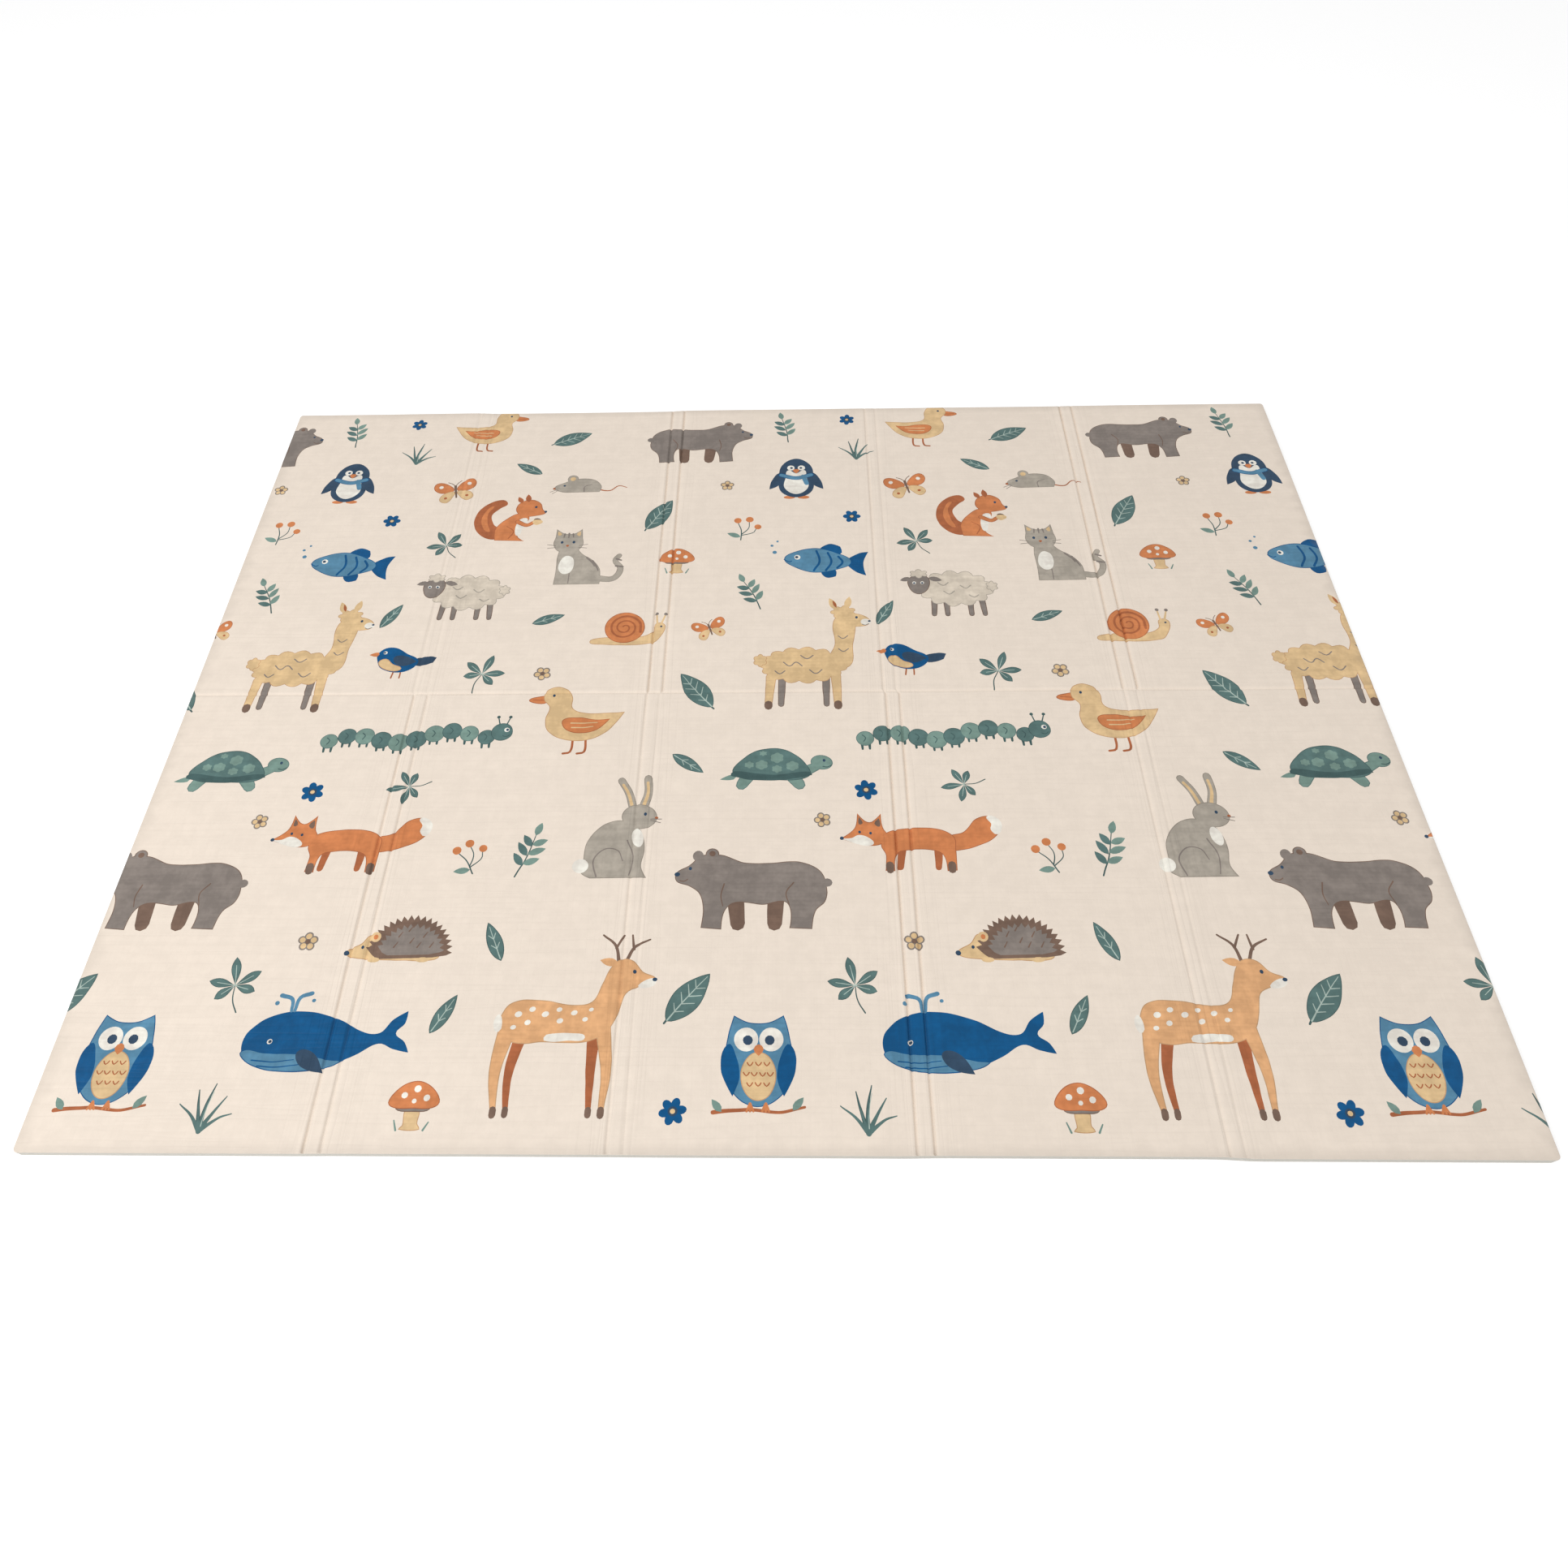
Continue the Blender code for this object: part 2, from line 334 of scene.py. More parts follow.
def sheep():
    return [
        ("taupe", line([(-30, 30), (-32, 3)], 10, 8)),
        ("taupe", line([(-12, 30), (-12, 3)], 10, 8)),
        ("taupe", line([(24, 30), (24, 3)], 10, 8)),
        ("taupe", line([(42, 30), (44, 3)], 10, 8)),
        ("wool", bumpy(4, 56, 104, 62, 13, 7)),
        ("grey", line([(-14, 50), (-6, 44), (2, 50)], 2.0)),
        ("grey", line([(12, 62), (20, 56), (28, 62)], 2.0)),
        ("grey", line([(-22, 68), (-14, 62), (-6, 68)], 2.0)),
        ("grey", line([(24, 42), (31, 37), (38, 42)], 2.0)),
        ("wool", bumpy(60, 60, 14, 16, 6, 3)),
        ("taupe", loop((-58, 84), (-44, 86), (-34, 74), (-38, 54), (-52, 44), (-64, 52), (-68, 72))),
        ("taupe", blade(-36, 78, 22, 10, -14)),
        ("taupe", blade(-62, 78, 18, 9, 196)),
        ("wool", bumpy(-50, 87, 22, 12, 6, 4)),
        ("cream", dot(-58, 68, 6)),
        ("cream", dot(-46, 68, 6)),
        ("navy", dot(-58, 67.5, 3.6)),
        ("navy", dot(-46, 67.5, 3.6)),
    ]


def cat():
    return [
        ("grey", line([(34, 14), (60, 14), (70, 36), (60, 54), (66, 66)], 13, 9)),
        ("grey", loop((-38, 64), (-32, 86), (-12, 88), (4, 70), (22, 56), (36, 34), (38, 2, 1), (-38, 1, 1), (-37, 32))),
        ("grey", loop((-48, 92), (-46, 112), (-46, 130, 1), (-32, 119), (-14, 119), (-2, 130, 1), (0, 110), (2, 90),
                      (-10, 76), (-36, 76))),
        ("sand", loop((-43, 124, 1), (-42, 114), (-36, 117))),
        ("sand", loop((-5, 124, 1), (-5, 113), (-11, 117))),
        ("cream", loop((-24, 66), (-10, 58), (-12, 30), (-26, 26), (-34, 44))),
        ("taupe", line([(-24, 119), (-24, 109)], 3.4, 2)),
        ("taupe", line([(-31, 118), (-32, 110)], 3, 2)),
        ("taupe", line([(-17, 118), (-16, 110)], 3, 2)),
        ("taupe", line([(12, 62), (22, 50), (26, 42)], 4, 2)),
        ("taupe", line([(22, 54), (30, 40), (33, 32)], 4, 2)),
        ("taupe", line([(62, 58), (70, 55)], 4, 3)),
        ("taupe", line([(62, 42), (74, 40)], 4, 3)),
        ("taupe", line([(-14, 26), (-14, 4)], 1.8)),
        ("navy", oval(-34, 98, 5, 6.4)),
        ("navy", oval(-14, 98, 5, 6.4)),
        ("rust", loop((-27, 91), (-24, 87, 1), (-21, 91))),
        ("taupe", line([(-44, 90), (-58, 93)], 1.2)),
        ("taupe", line([(-44, 86), (-57, 84)], 1.2)),
        ("taupe", line([(-4, 90), (10, 93)], 1.2)),
        ("taupe", line([(-4, 86), (9, 84)], 1.2)),
    ]


def fish():
    shapes = [
        ("blue", loop((34, 2), (52, 22), (66, 26, 1), (60, 2), (66, -24, 1), (50, -18))),
        ("blue", loop((-8, 22), (4, 38), (22, 34, 1), (24, 18))),
        ("blue", loop((-2, -20), (6, -34), (20, -30, 1), (18, -16))),
        ("sky", loop((-62, 0), (-44, 18), (-14, 27), (18, 20), (42, 2), (18, -17), (-14, -25), (-46, -16))),
    ]
    for x, high in ((-14, 42), (4, 38), (21, 24)):
        shapes.append(("blue", line([(x, 0.5 * high), (x + 7, 0), (x, -0.5 * high)], 3.6)))
    shapes += [
        ("cream", dot(-42, 5, 10)),
        ("navy", dot(-43, 5, 5.4)),
        ("blue", line([(-62, -2), (-54, -6), (-50, -4)], 1.6)),
        ("sky", dot(-78, 12, 7)),
        ("sky", dot(-84, 26, 5)),
        ("sky", dot(-76, 36, 4)),
    ]
    return shapes


def deer():
    shapes = []
    for foot, top in ((-52, -46), (42, 40)):
        shapes.append(("rust", line([(top, 92), (foot - 2, 50), (foot, 6)], 15, 6)))
    shapes += [
        ("umber", line([(62, 186), (56, 208), (40, 222)], 4.6, 2.4)),
        ("umber", line([(57, 205), (66, 222)], 3.6, 2.2)),
        ("umber", line([(70, 186), (80, 206), (98, 216)], 4.6, 2.4)),
        ("umber", line([(79, 203), (76, 222)], 3.6, 2.2)),
        ("tan", loop((-74, 112), (-62, 134), (-30, 138), (10, 132), (34, 136), (44, 158), (52, 178), (64, 190), (80, 188),
                     (92, 174), (108, 166), (106, 156), (88, 154), (74, 146), (66, 120), (54, 98), (30, 86), (-20, 86),
                     (-46, 84), (-68, 92))),
        ("tan", line([(-62, 106), (-70, 52), (-66, 6)], 22, 6.5)),
        ("tan", line([(50, 104), (58, 52), (56, 6)], 19, 6.5)),
        ("umber", line([(-66, 8), (-66, 2)], 8)),
        ("umber", line([(56, 8), (56, 2)], 8)),
        ("umber", line([(-52, 8), (-52, 2)], 7.4)),
        ("umber", line([(42, 8), (42, 2)], 7.4)),
        ("tan", blade(62, 184, 24, 11, 168)),
        ("cream", loop((-74, 120), (-80, 112), (-76, 98), (-70, 102))),
        ("cream", loop((108, 165), (106, 156), (88, 154), (94, 162))),
        ("navy", oval(82, 174, 4.6, 5.4)),
        ("navy", oval(107, 164, 6, 5)),
        ("cream", loop((-18, 88), (10, 88), (30, 92), (10, 97), (-16, 95))),
    ]
    for x, y, size in ((-52, 120, 9), (-36, 126, 8), (-40, 110, 8), (-20, 120, 9), (-4, 126, 7), (-2, 112, 8),
                       (14, 122, 8), (28, 114, 7), (-56, 104, 7), (34, 126, 6)):
        shapes.append(("cream", oval(x, y, size, size * 0.8, 20)))
    return shapes


def alpaca():
    return [
        ("taupe", line([(-40, 60), (-42, 6)], 13, 10)),
        ("taupe", line([(30, 60), (30, 6)], 13, 10)),
        ("sand", line([(-58, 62), (-62, 6)], 17, 12)),
        ("sand", line([(46, 62), (48, 6)], 17, 12)),
        ("sand", bumpy(-6, 86, 132, 66, 15, 6)),
        ("sand", loop((34, 84), (46, 130), (44, 176), (58, 196), (80, 192), (82, 168), (76, 128), (70, 84))),
        ("sand", bumpy(62, 200, 34, 22, 7, 5)),
        ("sand", loop((66, 196), (86, 196), (104, 186), (106, 174), (90, 168), (72, 170))),
        ("sand", blade(50, 206, 28, 12, 112)),
        ("sand", blade(68, 208, 28, 12, 78)),
        ("rust", blade(51, 210, 18, 5, 110)),
        ("cream", oval(99, 178, 17, 14)),
        ("sand", bumpy(-76, 96, 18, 22, 6, 3)),
        ("taupe", line([(-38, 92), (-28, 84), (-18, 92), (-8, 84)], 2.0)),
        ("taupe", line([(4, 76), (14, 68), (24, 76)], 2.0)),
        ("taupe", line([(-10, 106), (0, 99), (10, 106)], 2.0)),
        ("taupe", line([(-52, 74), (-44, 68), (-36, 74)], 2.0)),
        ("taupe", line([(52, 120), (60, 114), (68, 120)], 1.8)),
        ("taupe", line([(52, 148), (60, 142), (68, 148)], 1.8)),
        ("navy", oval(84, 188, 4.6, 5.6)),
        ("navy", oval(105, 180, 5, 4)),
        ("taupe", line([(104, 174), (98, 171), (93, 173)], 1.5)),
        ("umber", line([(-62, 7), (-62, 2)], 13)),
        ("umber", line([(48, 7), (48, 2)], 13)),
    ]


def caterpillar():
    shapes = []
    joints = []
    for i in range(10):
        joints.append((-136 + 29 * i, 27 + 9 * math.sin(1.15 * i)))
    for i, (x, y) in enumerate(joints):
        for lean in (-6, 6):
            shapes.append(("pine", line([(x + lean, y - 12), (x + lean, y - 21)], 4.6, 3.6)))
    for i, (x, y) in enumerate(joints):
        size = 26 + 9 * math.sin(math.pi * (i + 1.5) / 12)
        shapes.append(("teal" if i % 2 else "leaf", dot(x, y, size)))
        shapes.append(("pine", line([(x - 4, y + 7), (x + 1, y + 1), (x - 3, y - 6)], 1.6)))
    x, y = joints[-1]
    x, y = x + 25, y + 9
    shapes += [
        ("pine", line([(x - 4, y + 12), (x - 8, y + 30)], 2.4, 1.8)),
        ("pine", line([(x + 6, y + 12), (x + 12, y + 29)], 2.4, 1.8)),
        ("pine", dot(x - 8, y + 31, 6)),
        ("pine", dot(x + 12, y + 30, 6)),
        ("teal", dot(x, y, 36)),
        ("cream", dot(x + 8, y + 4, 9)),
        ("navy", dot(x + 9, y + 4, 5)),
        ("pine", line([(x + 2, y - 8), (x + 8, y - 10), (x + 13, y - 6)], 1.6)),
    ]
    return shapes


def squirrel():
    return [
        ("rust", loop((22, 8), (48, 12), (66, 38), (64, 70), (46, 92), (26, 98), (18, 88), (28, 78), (40, 62), (34, 40),
                      (22, 28))),
        ("orange", loop((40, 22), (56, 44), (54, 68), (40, 84), (46, 66), (44, 44))),
        ("orange", loop((-22, 56), (-6, 66), (14, 54), (30, 30), (28, 4, 1), (-20, 2, 1), (-8, 14), (-14, 34))),
        ("orange", loop((-42, 74), (-36, 90), (-20, 98), (-2, 90), (2, 72), (-12, 58), (-34, 60), (-48, 66))),
        ("rust", blade(-16, 92, 19, 10, 82)),
        ("rust", blade(-6, 90, 17, 9, 62)),
        ("cream", loop((-20, 52), (-8, 52), (-2, 30), (-8, 14), (-14, 30))),
        ("orange", line([(-4, 46), (-20, 38), (-30, 44)], 9, 7)),
        ("umber", oval(-36, 49, 13, 10, 20)),
        ("sand", loop((-45, 47), (-36, 38), (-29, 43), (-30, 50))),
        ("navy", oval(-30, 80, 4.4, 5.4)),
        ("navy", dot(-47, 69, 5)),
        ("rust", line([(6, 8), (0, 24), (12, 36)], 2.0, 1.2)),
    ]


def penguin():
    return [
        ("orange", oval(-12, 2, 20, 8)),
        ("orange", oval(12, 2, 20, 8)),
        ("navy", loop((-30, 52), (-24, 84), (0, 100), (24, 84), (30, 52), (26, 16), (0, 2), (-26, 16))),
        ("navy", loop((-26, 64), (-42, 44), (-46, 22, 1), (-32, 30), (-24, 44))),
        ("navy", loop((26, 64), (42, 44), (46, 22, 1), (32, 30), (24, 44))),
        ("cream", loop((0, 62), (-14, 70), (-18, 52), (-20, 26), (0, 10), (20, 26), (18, 52), (14, 70))),
        ("cream", dot(-9, 76, 13)),
        ("cream", dot(9, 76, 13)),
        ("navy", dot(-8, 76, 5)),
        ("navy", dot(8, 76, 5)),
        ("orange", loop((-6, 70), (0, 73), (6, 70), (0, 62, 1))),
        ("sky", line([(-26, 58), (0, 50), (26, 58)], 9, 9)),
        ("sky", line([(12, 54), (18, 36)], 9, 8)),
    ]


def bird():
    return [
        ("rust", line([(-4, 10), (-6, -6)], 2.2)),
        ("rust", line([(6, 10), (6, -6)], 2.2)),
        ("navy", loop((20, 26), (44, 34), (54, 32, 1), (50, 22, 1), (28, 16))),
        ("blue", loop((-34, 38), (-24, 50), (-8, 50), (8, 40), (28, 26), (20, 10), (-2, 4), (-24, 12), (-32, 26))),
        ("sand", loop((-30, 24), (-22, 12), (-4, 6), (6, 12), (-8, 20), (-20, 30))),
        ("navy", loop((-8, 34), (10, 34), (26, 24, 1), (8, 16), (-6, 22))),
        ("orange", loop((-33, 42), (-46, 37, 1), (-34, 34))),
        ("cream", dot(-23, 41, 6)),
        ("navy", dot(-24, 41, 3.6)),
    ]


def mushroom():
    return [
        ("sand", loop((-8, 26), (-9, 6), (-13, 1), (13, 1), (9, 8), (8, 26))),
        ("taupe", loop((-22, 28), (0, 22), (22, 28), (0, 33))),
        ("orange", loop((-30, 30), (-24, 48), (0, 60), (24, 48), (30, 30), (0, 26))),
        ("cream", dot(-13, 42, 8)),
        ("cream", dot(2, 50, 9)),
        ("cream", dot(15, 39, 8)),
        ("cream", dot(0, 35, 6)),
        ("leaf", line([(-16, 0), (-20, 12)], 2.6, 1.6)),
        ("leaf", line([(17, 0), (22, 10)], 2.6, 1.6)),
    ]


def mouse():
    return [
        ("rust", line([(30, 10), (52, 6), (66, 18), (80, 14)], 2.8, 1.6)),
        ("grey", loop((-44, 12), (-26, 28), (-4, 36), (22, 34), (37, 18), (34, 3, 1), (-22, 2, 1))),
        ("grey", dot(-14, 36, 19)),
        ("sand", dot(-14, 36, 10)),
        ("taupe", line([(8, 4), (8, 16), (20, 22)], 2.0, 1.2)),
        ("navy", dot(-27, 19, 4.4)),
        ("rust", dot(-44, 12, 5)),
        ("taupe", line([(-38, 10), (-50, 4)], 1.1)),
        ("taupe", line([(-36, 8), (-46, 0)], 1.1)),
    ]


def butterfly():
    return [
        ("orange", loop((-3, 2), (-14, 22), (-32, 28), (-38, 14), (-26, 0))),
        ("orange", loop((3, 2), (14, 22), (32, 28), (38, 14), (26, 0))),
        ("sand", loop((-3, 0), (-24, -4), (-30, -18), (-18, -27), (-6, -14))),
        ("sand", loop((3, 0), (24, -4), (30, -18), (18, -27), (6, -14))),
        ("cream", dot(-25, 16, 8)),
        ("cream", dot(25, 16, 8)),
        ("rust", dot(-19, -14, 6)),
        ("rust", dot(19, -14, 6)),
        ("umber", line([(0, 14), (0, -16)], 5, 3)),
        ("umber", line([(0, 14), (-6, 22), (-12, 26)], 1.5)),
        ("umber", line([(0, 14), (6, 22), (12, 26)], 1.5)),
    ]


def broadLeaf():
    shapes = [
        ("pine", line([(-50, 0), (-42, 1)], 3.0)),
        ("teal", blade(-46, 0, 92, 40, 0)),
        ("mint", line([(-44, 0), (0, 1), (40, 0)], 2.2, 1.0)),
    ]
    for x, reach in ((-28, 11), (-13, 15), (2, 15), (17, 11)):
        for side in (1, -1):
            shapes.append(("mint", line([(x, 0), (x + 0.8 * reach, side * 0.85 * reach)], 1.7, 1.0)))
    return shapes


def slimLeaf():
    return [
        ("teal", blade(-32, 0, 64, 22, 0)),
        ("mint", line([(-28, 0), (24, 0)], 1.6, 0.9)),
        ("mint", line([(-12, 0), (-4, 6)], 1.2)),
        ("mint", line([(-12, 0), (-4, -6)], 1.2)),
        ("mint", line([(4, 0), (12, 5)], 1.2)),
        ("mint", line([(4, 0), (12, -5)], 1.2)),
    ]


def sprig():
    shapes = [("pine", line([(0, -46), (3, -10), (0, 34)], 2.6, 1.4))]
    for y, length in ((-22, 27), (-4, 29), (13, 25)):
        shapes.append(("leaf", blade(2, y, length, 12, 38)))
        shapes.append(("teal", blade(2, y - 3, length, 12, 142)))
    shapes.append(("leaf", blade(0, 30, 24, 12, 90)))
    return shapes


def handLeaf():
    shapes = [("pine", line([(4, -44), (-2, -22), (0, 0)], 2.2, 1.6))]
    for turn, length in ((-28, 34), (22, 42), (90, 47), (158, 42), (208, 34)):
        shapes.append(("teal", blade(0, 0, length, 15, turn, 0.6)))
    for turn, length in ((-28, 22), (22, 29), (90, 33), (158, 29), (208, 22)):
        tip = (length * math.cos(math.radians(turn)), length * math.sin(math.radians(turn)))
        shapes.append(("mint", line([(0, 0), tip], 1.5, 0.9)))
    return shapes


def daisy():
    shapes = []
    for i in range(6):
        angle = math.radians(60 * i)
        shapes.append(("blue", oval(10.5 * math.cos(angle), 10.5 * math.sin(angle), 15, 11.5, 60 * i)))
    shapes.append(("navy", dot(0, 0, 13)))
    shapes.append(("sand", dot(0, 0, 7)))
    return shapes


def bloom():
    shapes = []
    for i in range(5):
        angle = math.radians(72 * i + 18)
        shapes.append(("taupe", dot(9 * math.cos(angle), 9 * math.sin(angle), 13)))
    for i in range(5):
        angle = math.radians(72 * i + 18)
        shapes.append(("sand", dot(8.6 * math.cos(angle), 8.6 * math.sin(angle), 9)))
    shapes.append(("umber", dot(0, 0, 8)))
    return shapes


def grass():
    shapes = []
    for tip, lean, wide in (((-34, 34), (-16, 20), 6), ((-14, 52), (-8, 26), 7), ((6, 60), (0, 30), 7),
                            ((24, 44), (12, 24), 7), ((36, 22), (20, 16), 6)):
        shapes.append(("teal", line([(0, 0), lean, tip], wide, 1.4)))
    shapes.append(("mint", line([(1, 6), (2, 30), (6, 50)], 1.4, 0.8)))
    return shapes


def berries():
    return [
        ("pine", line([(0, -30), (-4, -6), (-14, 14)], 2.2, 1.6)),
        ("pine", line([(-2, -16), (8, 2), (6, 20)], 2.0, 1.4)),
        ("pine", line([(-2, -18), (18, -8), (22, 4)], 2.0, 1.4)),
        ("orange", dot(-15, 18, 14)),
        ("orange", dot(6, 24, 14)),
        ("orange", dot(24, 8, 13)),
        ("leaf", blade(-2, -22, 26, 11, 168)),
    ]


Spot = namedtuple("Spot", "motif x y size turn flip")
layout = {
    "repeat": 885.0,     # width of one repeat of the print
    "start": -330.0,     # where the first repeat begins, from the mat's left edge
    "wobble": 0.55,      # how far a hand-cut outline strays
    "wobbleLength": 17.0,
}
spots = [
    Spot(deer, 150, 48, 1.18, 0, 1),
    Spot(owl, 425, 62, 1.15, 0, 1),
    Spot(whale, 700, 112, 1.12, 4, 1),
    Spot(grass, 570, 28, 1.05, 0, 1),
    Spot(broadLeaf, 325, 215, 1.00, 50, 1),
    Spot(daisy, 312, 56, 1.05, 10, 1),
    Spot(mushroom, 850, 30, 1.10, 0, 1),
    Spot(handLeaf, 560, 232, 0.95, 12, 1),
    Spot(slimLeaf, 868, 190, 1.00, 62, 1),
    Spot(hedgehog, 790, 268, 1.15, 0, 1),
    Spot(bear, 420, 318, 1.08, 0, -1),
    Spot(bloom, 648, 300, 1.00, 0, 1),
    Spot(slimLeaf, 38, 300, 1.05, 115, 1),
    Spot(rabbit, 205, 402, 1.12, 0, 1),
    Spot(fox, 655, 412, 1.06, 0, 1),
    Spot(sprig, 66, 450, 1.00, -18, 1),
    Spot(berries, 862, 440, 1.00, 20, 1),
    Spot(turtle, 440, 566, 1.12, 0, -1),
    Spot(slimLeaf, 305, 612, 1.00, -35, 1),
    Spot(bloom, 520, 505, 0.90, 20, 1),
    Spot(caterpillar, 730, 640, 1.00, 3, 1),
    Spot(daisy, 590, 560, 1.05, 40, 1),
    Spot(handLeaf, 745, 570, 0.80, 100, 1),
    Spot(duck, 120, 650, 1.16, 0, 1),
    Spot(broadLeaf, 312, 762, 1.00, 128, 1),
    Spot(handLeaf, 825, 800, 0.95, -20, 1),
    Spot(alpaca, 500, 724, 1.06, 0, 1),
    Spot(bird, 675, 800, 1.20, 0, 1),
    Spot(snail, 190, 862, 1.15, 0, -1),
    Spot(bloom, 45, 800, 1.00, 30, 1),
    Spot(butterfly, 330, 898, 0.80, 18, 1),
    Spot(sheep, 765, 925, 1.18, 0, 1),
    Spot(slimLeaf, 640, 935, 1.00, 60, 1),
    Spot(sprig, 400, 985, 0.95, 25, 1),
    Spot(slimLeaf, 40, 925, 0.95, 20, 1),
    Spot(cat, 80, 1008, 1.12, 0, 1),
    Spot(fish, 535, 1062, 1.20, -6, 1),
    Spot(mushroom, 262, 1035, 1.05, 0, 1),
    Spot(handLeaf, 708, 1112, 0.90, 30, 1),
    Spot(squirrel, 830, 1120, 1.18, 0, -1),
    Spot(berries, 385, 1150, 1.05, -10, 1),
    Spot(daisy, 590, 1180, 0.95, 0, 1),
    Spot(broadLeaf, 222, 1190, 1.00, 60, 1),
    Spot(penguin, 485, 1232, 1.14, 0, 1),
    Spot(mouse, 60, 1252, 1.15, 0, 1),
    Spot(butterfly, 700, 1262, 1.10, 12, 1),
    Spot(bloom, 350, 1270, 0.90, 0, 1),
    Spot(bear, 285, 1338, 0.98, 0, 1),
    Spot(grass, 605, 1345, 1.00, 0, 1),
    Spot(slimLeaf, 838, 1325, 1.00, 150, 1),
    Spot(sprig, 462, 1440, 0.95, 10, 1),
    Spot(duck, 735, 1396, 1.05, 0, -1),
    Spot(broadLeaf, 30, 1415, 0.90, 24, 1),
    Spot(daisy, 590, 1465, 0.90, 25, 1),
]


def signedArea(outline):
    total = 0.0
    for (ax, ay), (bx, by) in zip(outline, outline[1:] + outline[:1]):
        total += 0.5 * (ax * by - bx * ay)
    return total


# The outline drawn in by the width of its rim.
def drawnIn(outline, width):
    width = math.copysign(width, signedArea(outline))
    count = len(outline)
    points = []
    for i, (x, y) in enumerate(outline):
        before, after = outline[i - 1], outline[(i + 1) % count]
        along = Vector((after[0] - before[0], after[1] - before[1])).normalized()
        points.append((x - along.y * width, y + along.x * width))
    return points


# Shapes of one ink that follow each other get one darker rim round them all.
def withRims(shapes):
    result = []
    for ink, group in groupby(shapes, key=lambda shape: shape[0]):
        outlines = [outline for ink, outline in group]
        large = []
        if ink in printSettings["rimInks"]:
            large = [outline for outline in outlines if abs(signedArea(outline)) > printSettings["rimArea"]]
        for outline in large:
            result.append((printSettings["rimInks"][ink], outline))
        for outline in outlines:
            result.append((ink, drawnIn(outline, printSettings["rim"]) if outline in large else outline))
    return result


# Every shape of the print, lowest first, in millimetres from the mat's front left corner.
def printShapes(width, depth):
    shapes = []
    margin = 60.0
    for copy in range(math.ceil((width - layout["start"]) / layout["repeat"])):
        shift = layout["start"] + copy * layout["repeat"]
        for number, spot in enumerate(spots):
            c, s = math.cos(math.radians(spot.turn)), math.sin(math.radians(spot.turn))
            for ink, outline in withRims(spot.motif()):
                placed = []
                for u, v in outline:
                    u, v = u * spot.size * spot.flip, v * spot.size
                    x = shift + spot.x + u * c - v * s
                    y = spot.y + u * s + v * c
                    stray = noise.noise_vector(Vector((
                        (x - shift) / layout["wobbleLength"], y / layout["wobbleLength"], number)))
                    placed.append((x + layout["wobble"] * stray.x, y + layout["wobble"] * stray.y))
                across = [p[0] for p in placed]
                deep = [p[1] for p in placed]
                if max(across) > -margin and min(across) < width + margin and max(deep) > -margin and min(
                        deep) < depth + margin:
                    shapes.append((ink, placed[::-1] if spot.flip < 0 else placed))
    return shapes

# Print shapes end here


# Sizes of the mat, in metres. They are the ones that the solid is built to.
matSettings = {
    "width": 2.000,
    "depth": 1.500,
    "thickness": 0.015,
    "cornerRadius": 0.006,
    "cornerSteps": 6,
    "rimRound": 0.0014,        # the film is drawn over the upper edge with this radius
    "rimLoops": (0.0, 0.25, 0.6, 1.0),
    "footBevel": 0.0007,
    "sideBow": 0.0018,         # the sides draw in by this at the cross fold
    "edgeBlend": 0.060,        # over this length one panel's edge turns into the next
    "swell": 0.0004,           # the panels aren't quite flat
    "swellLengthX": 0.47,
    "swellLengthY": 0.58,
    "pitch": 0.019,            # distance between the free points of the surface
    "jitter": 0.003,
    "seed": 7,
}
creaseSettings = {
    "sharpReach": 0.0019,      # half width of a deep crease
    "softReach": 0.0032,       # and of the faintest
    "shoulder": 0.0100,
    "lip": 0.0003,             # the film puffs up a little beside a crease
    "crossY": 0.008,           # the crease across the mat
    "crossDepth": 0.0015,
    "crossBand": 0.0120,       # here a crease steps from its front to its back course
    "lines": (0.0, 0.0006, 0.0012, 0.0019, 0.0028, 0.0040, 0.0060, 0.0100),
    "step": 0.020,
    "uneven": 0.18,            # share by which the depth changes along a crease
    "unevenLength": 0.09,
    "nearby": 0.030,           # reach of the fine wrinkles beside a crease
    "fullDepth": 0.0034,       # a crease of this depth gets the painted shade and painted highlight in full
    # painted shade: the film is darkened in a crease and along the mat's edge
    "paintedShade": 0.17,
    "paintedShadeReach": 0.0022,
    "rimPaintedShade": 0.85,          # painted shade along the mat's edge is stronger than in the creases
    "rimReach": 0.0032,
    "paleReach": 0.0040,       # painted highlight on the film beside a crease
    "palePlace": 0.0062,
    "crossPale": 0.55,         # and in the crease across the mat
}
# The creases lie in pairs, a pair for each fold. Places are X, front and back row of panels.
Crease = namedtuple("Crease", "front back frontDepth backDepth")
creases = [
    Crease(-0.6145, -0.6170, 0.0026, 0.0009),
    Crease(-0.5910, -0.5940, 0.0020, 0.0005),
    Crease(-0.2170, -0.2150, 0.0017, 0.0030),
    Crease(-0.1955, -0.1905, 0.0008, 0.0031),
    Crease(0.1865, 0.1830, 0.0031, 0.0019),
    Crease(0.2095, 0.2040, 0.0031, 0.0012),
    Crease(0.5855, 0.5845, 0.0016, 0.0034),
    Crease(0.6055, 0.6085, 0.0009, 0.0033),
]
EdgeOffset = namedtuple("EdgeOffset", "back front")
edgeOffsets = [
    EdgeOffset(0.0014, 0.0000),
    EdgeOffset(-0.0012, 0.0004),
    EdgeOffset(0.0014, 0.0002),
    EdgeOffset(0.0004, 0.0010),
    EdgeOffset(0.0008, -0.0014),
]


def smoothStep(value):
    clamped = min(1.0, max(0.0, value))
    return clamped * clamped * (3.0 - 2.0 * clamped)


def backShare(y):
    return smoothStep((y - creaseSettings["crossY"]) / creaseSettings["crossBand"] + 0.5)


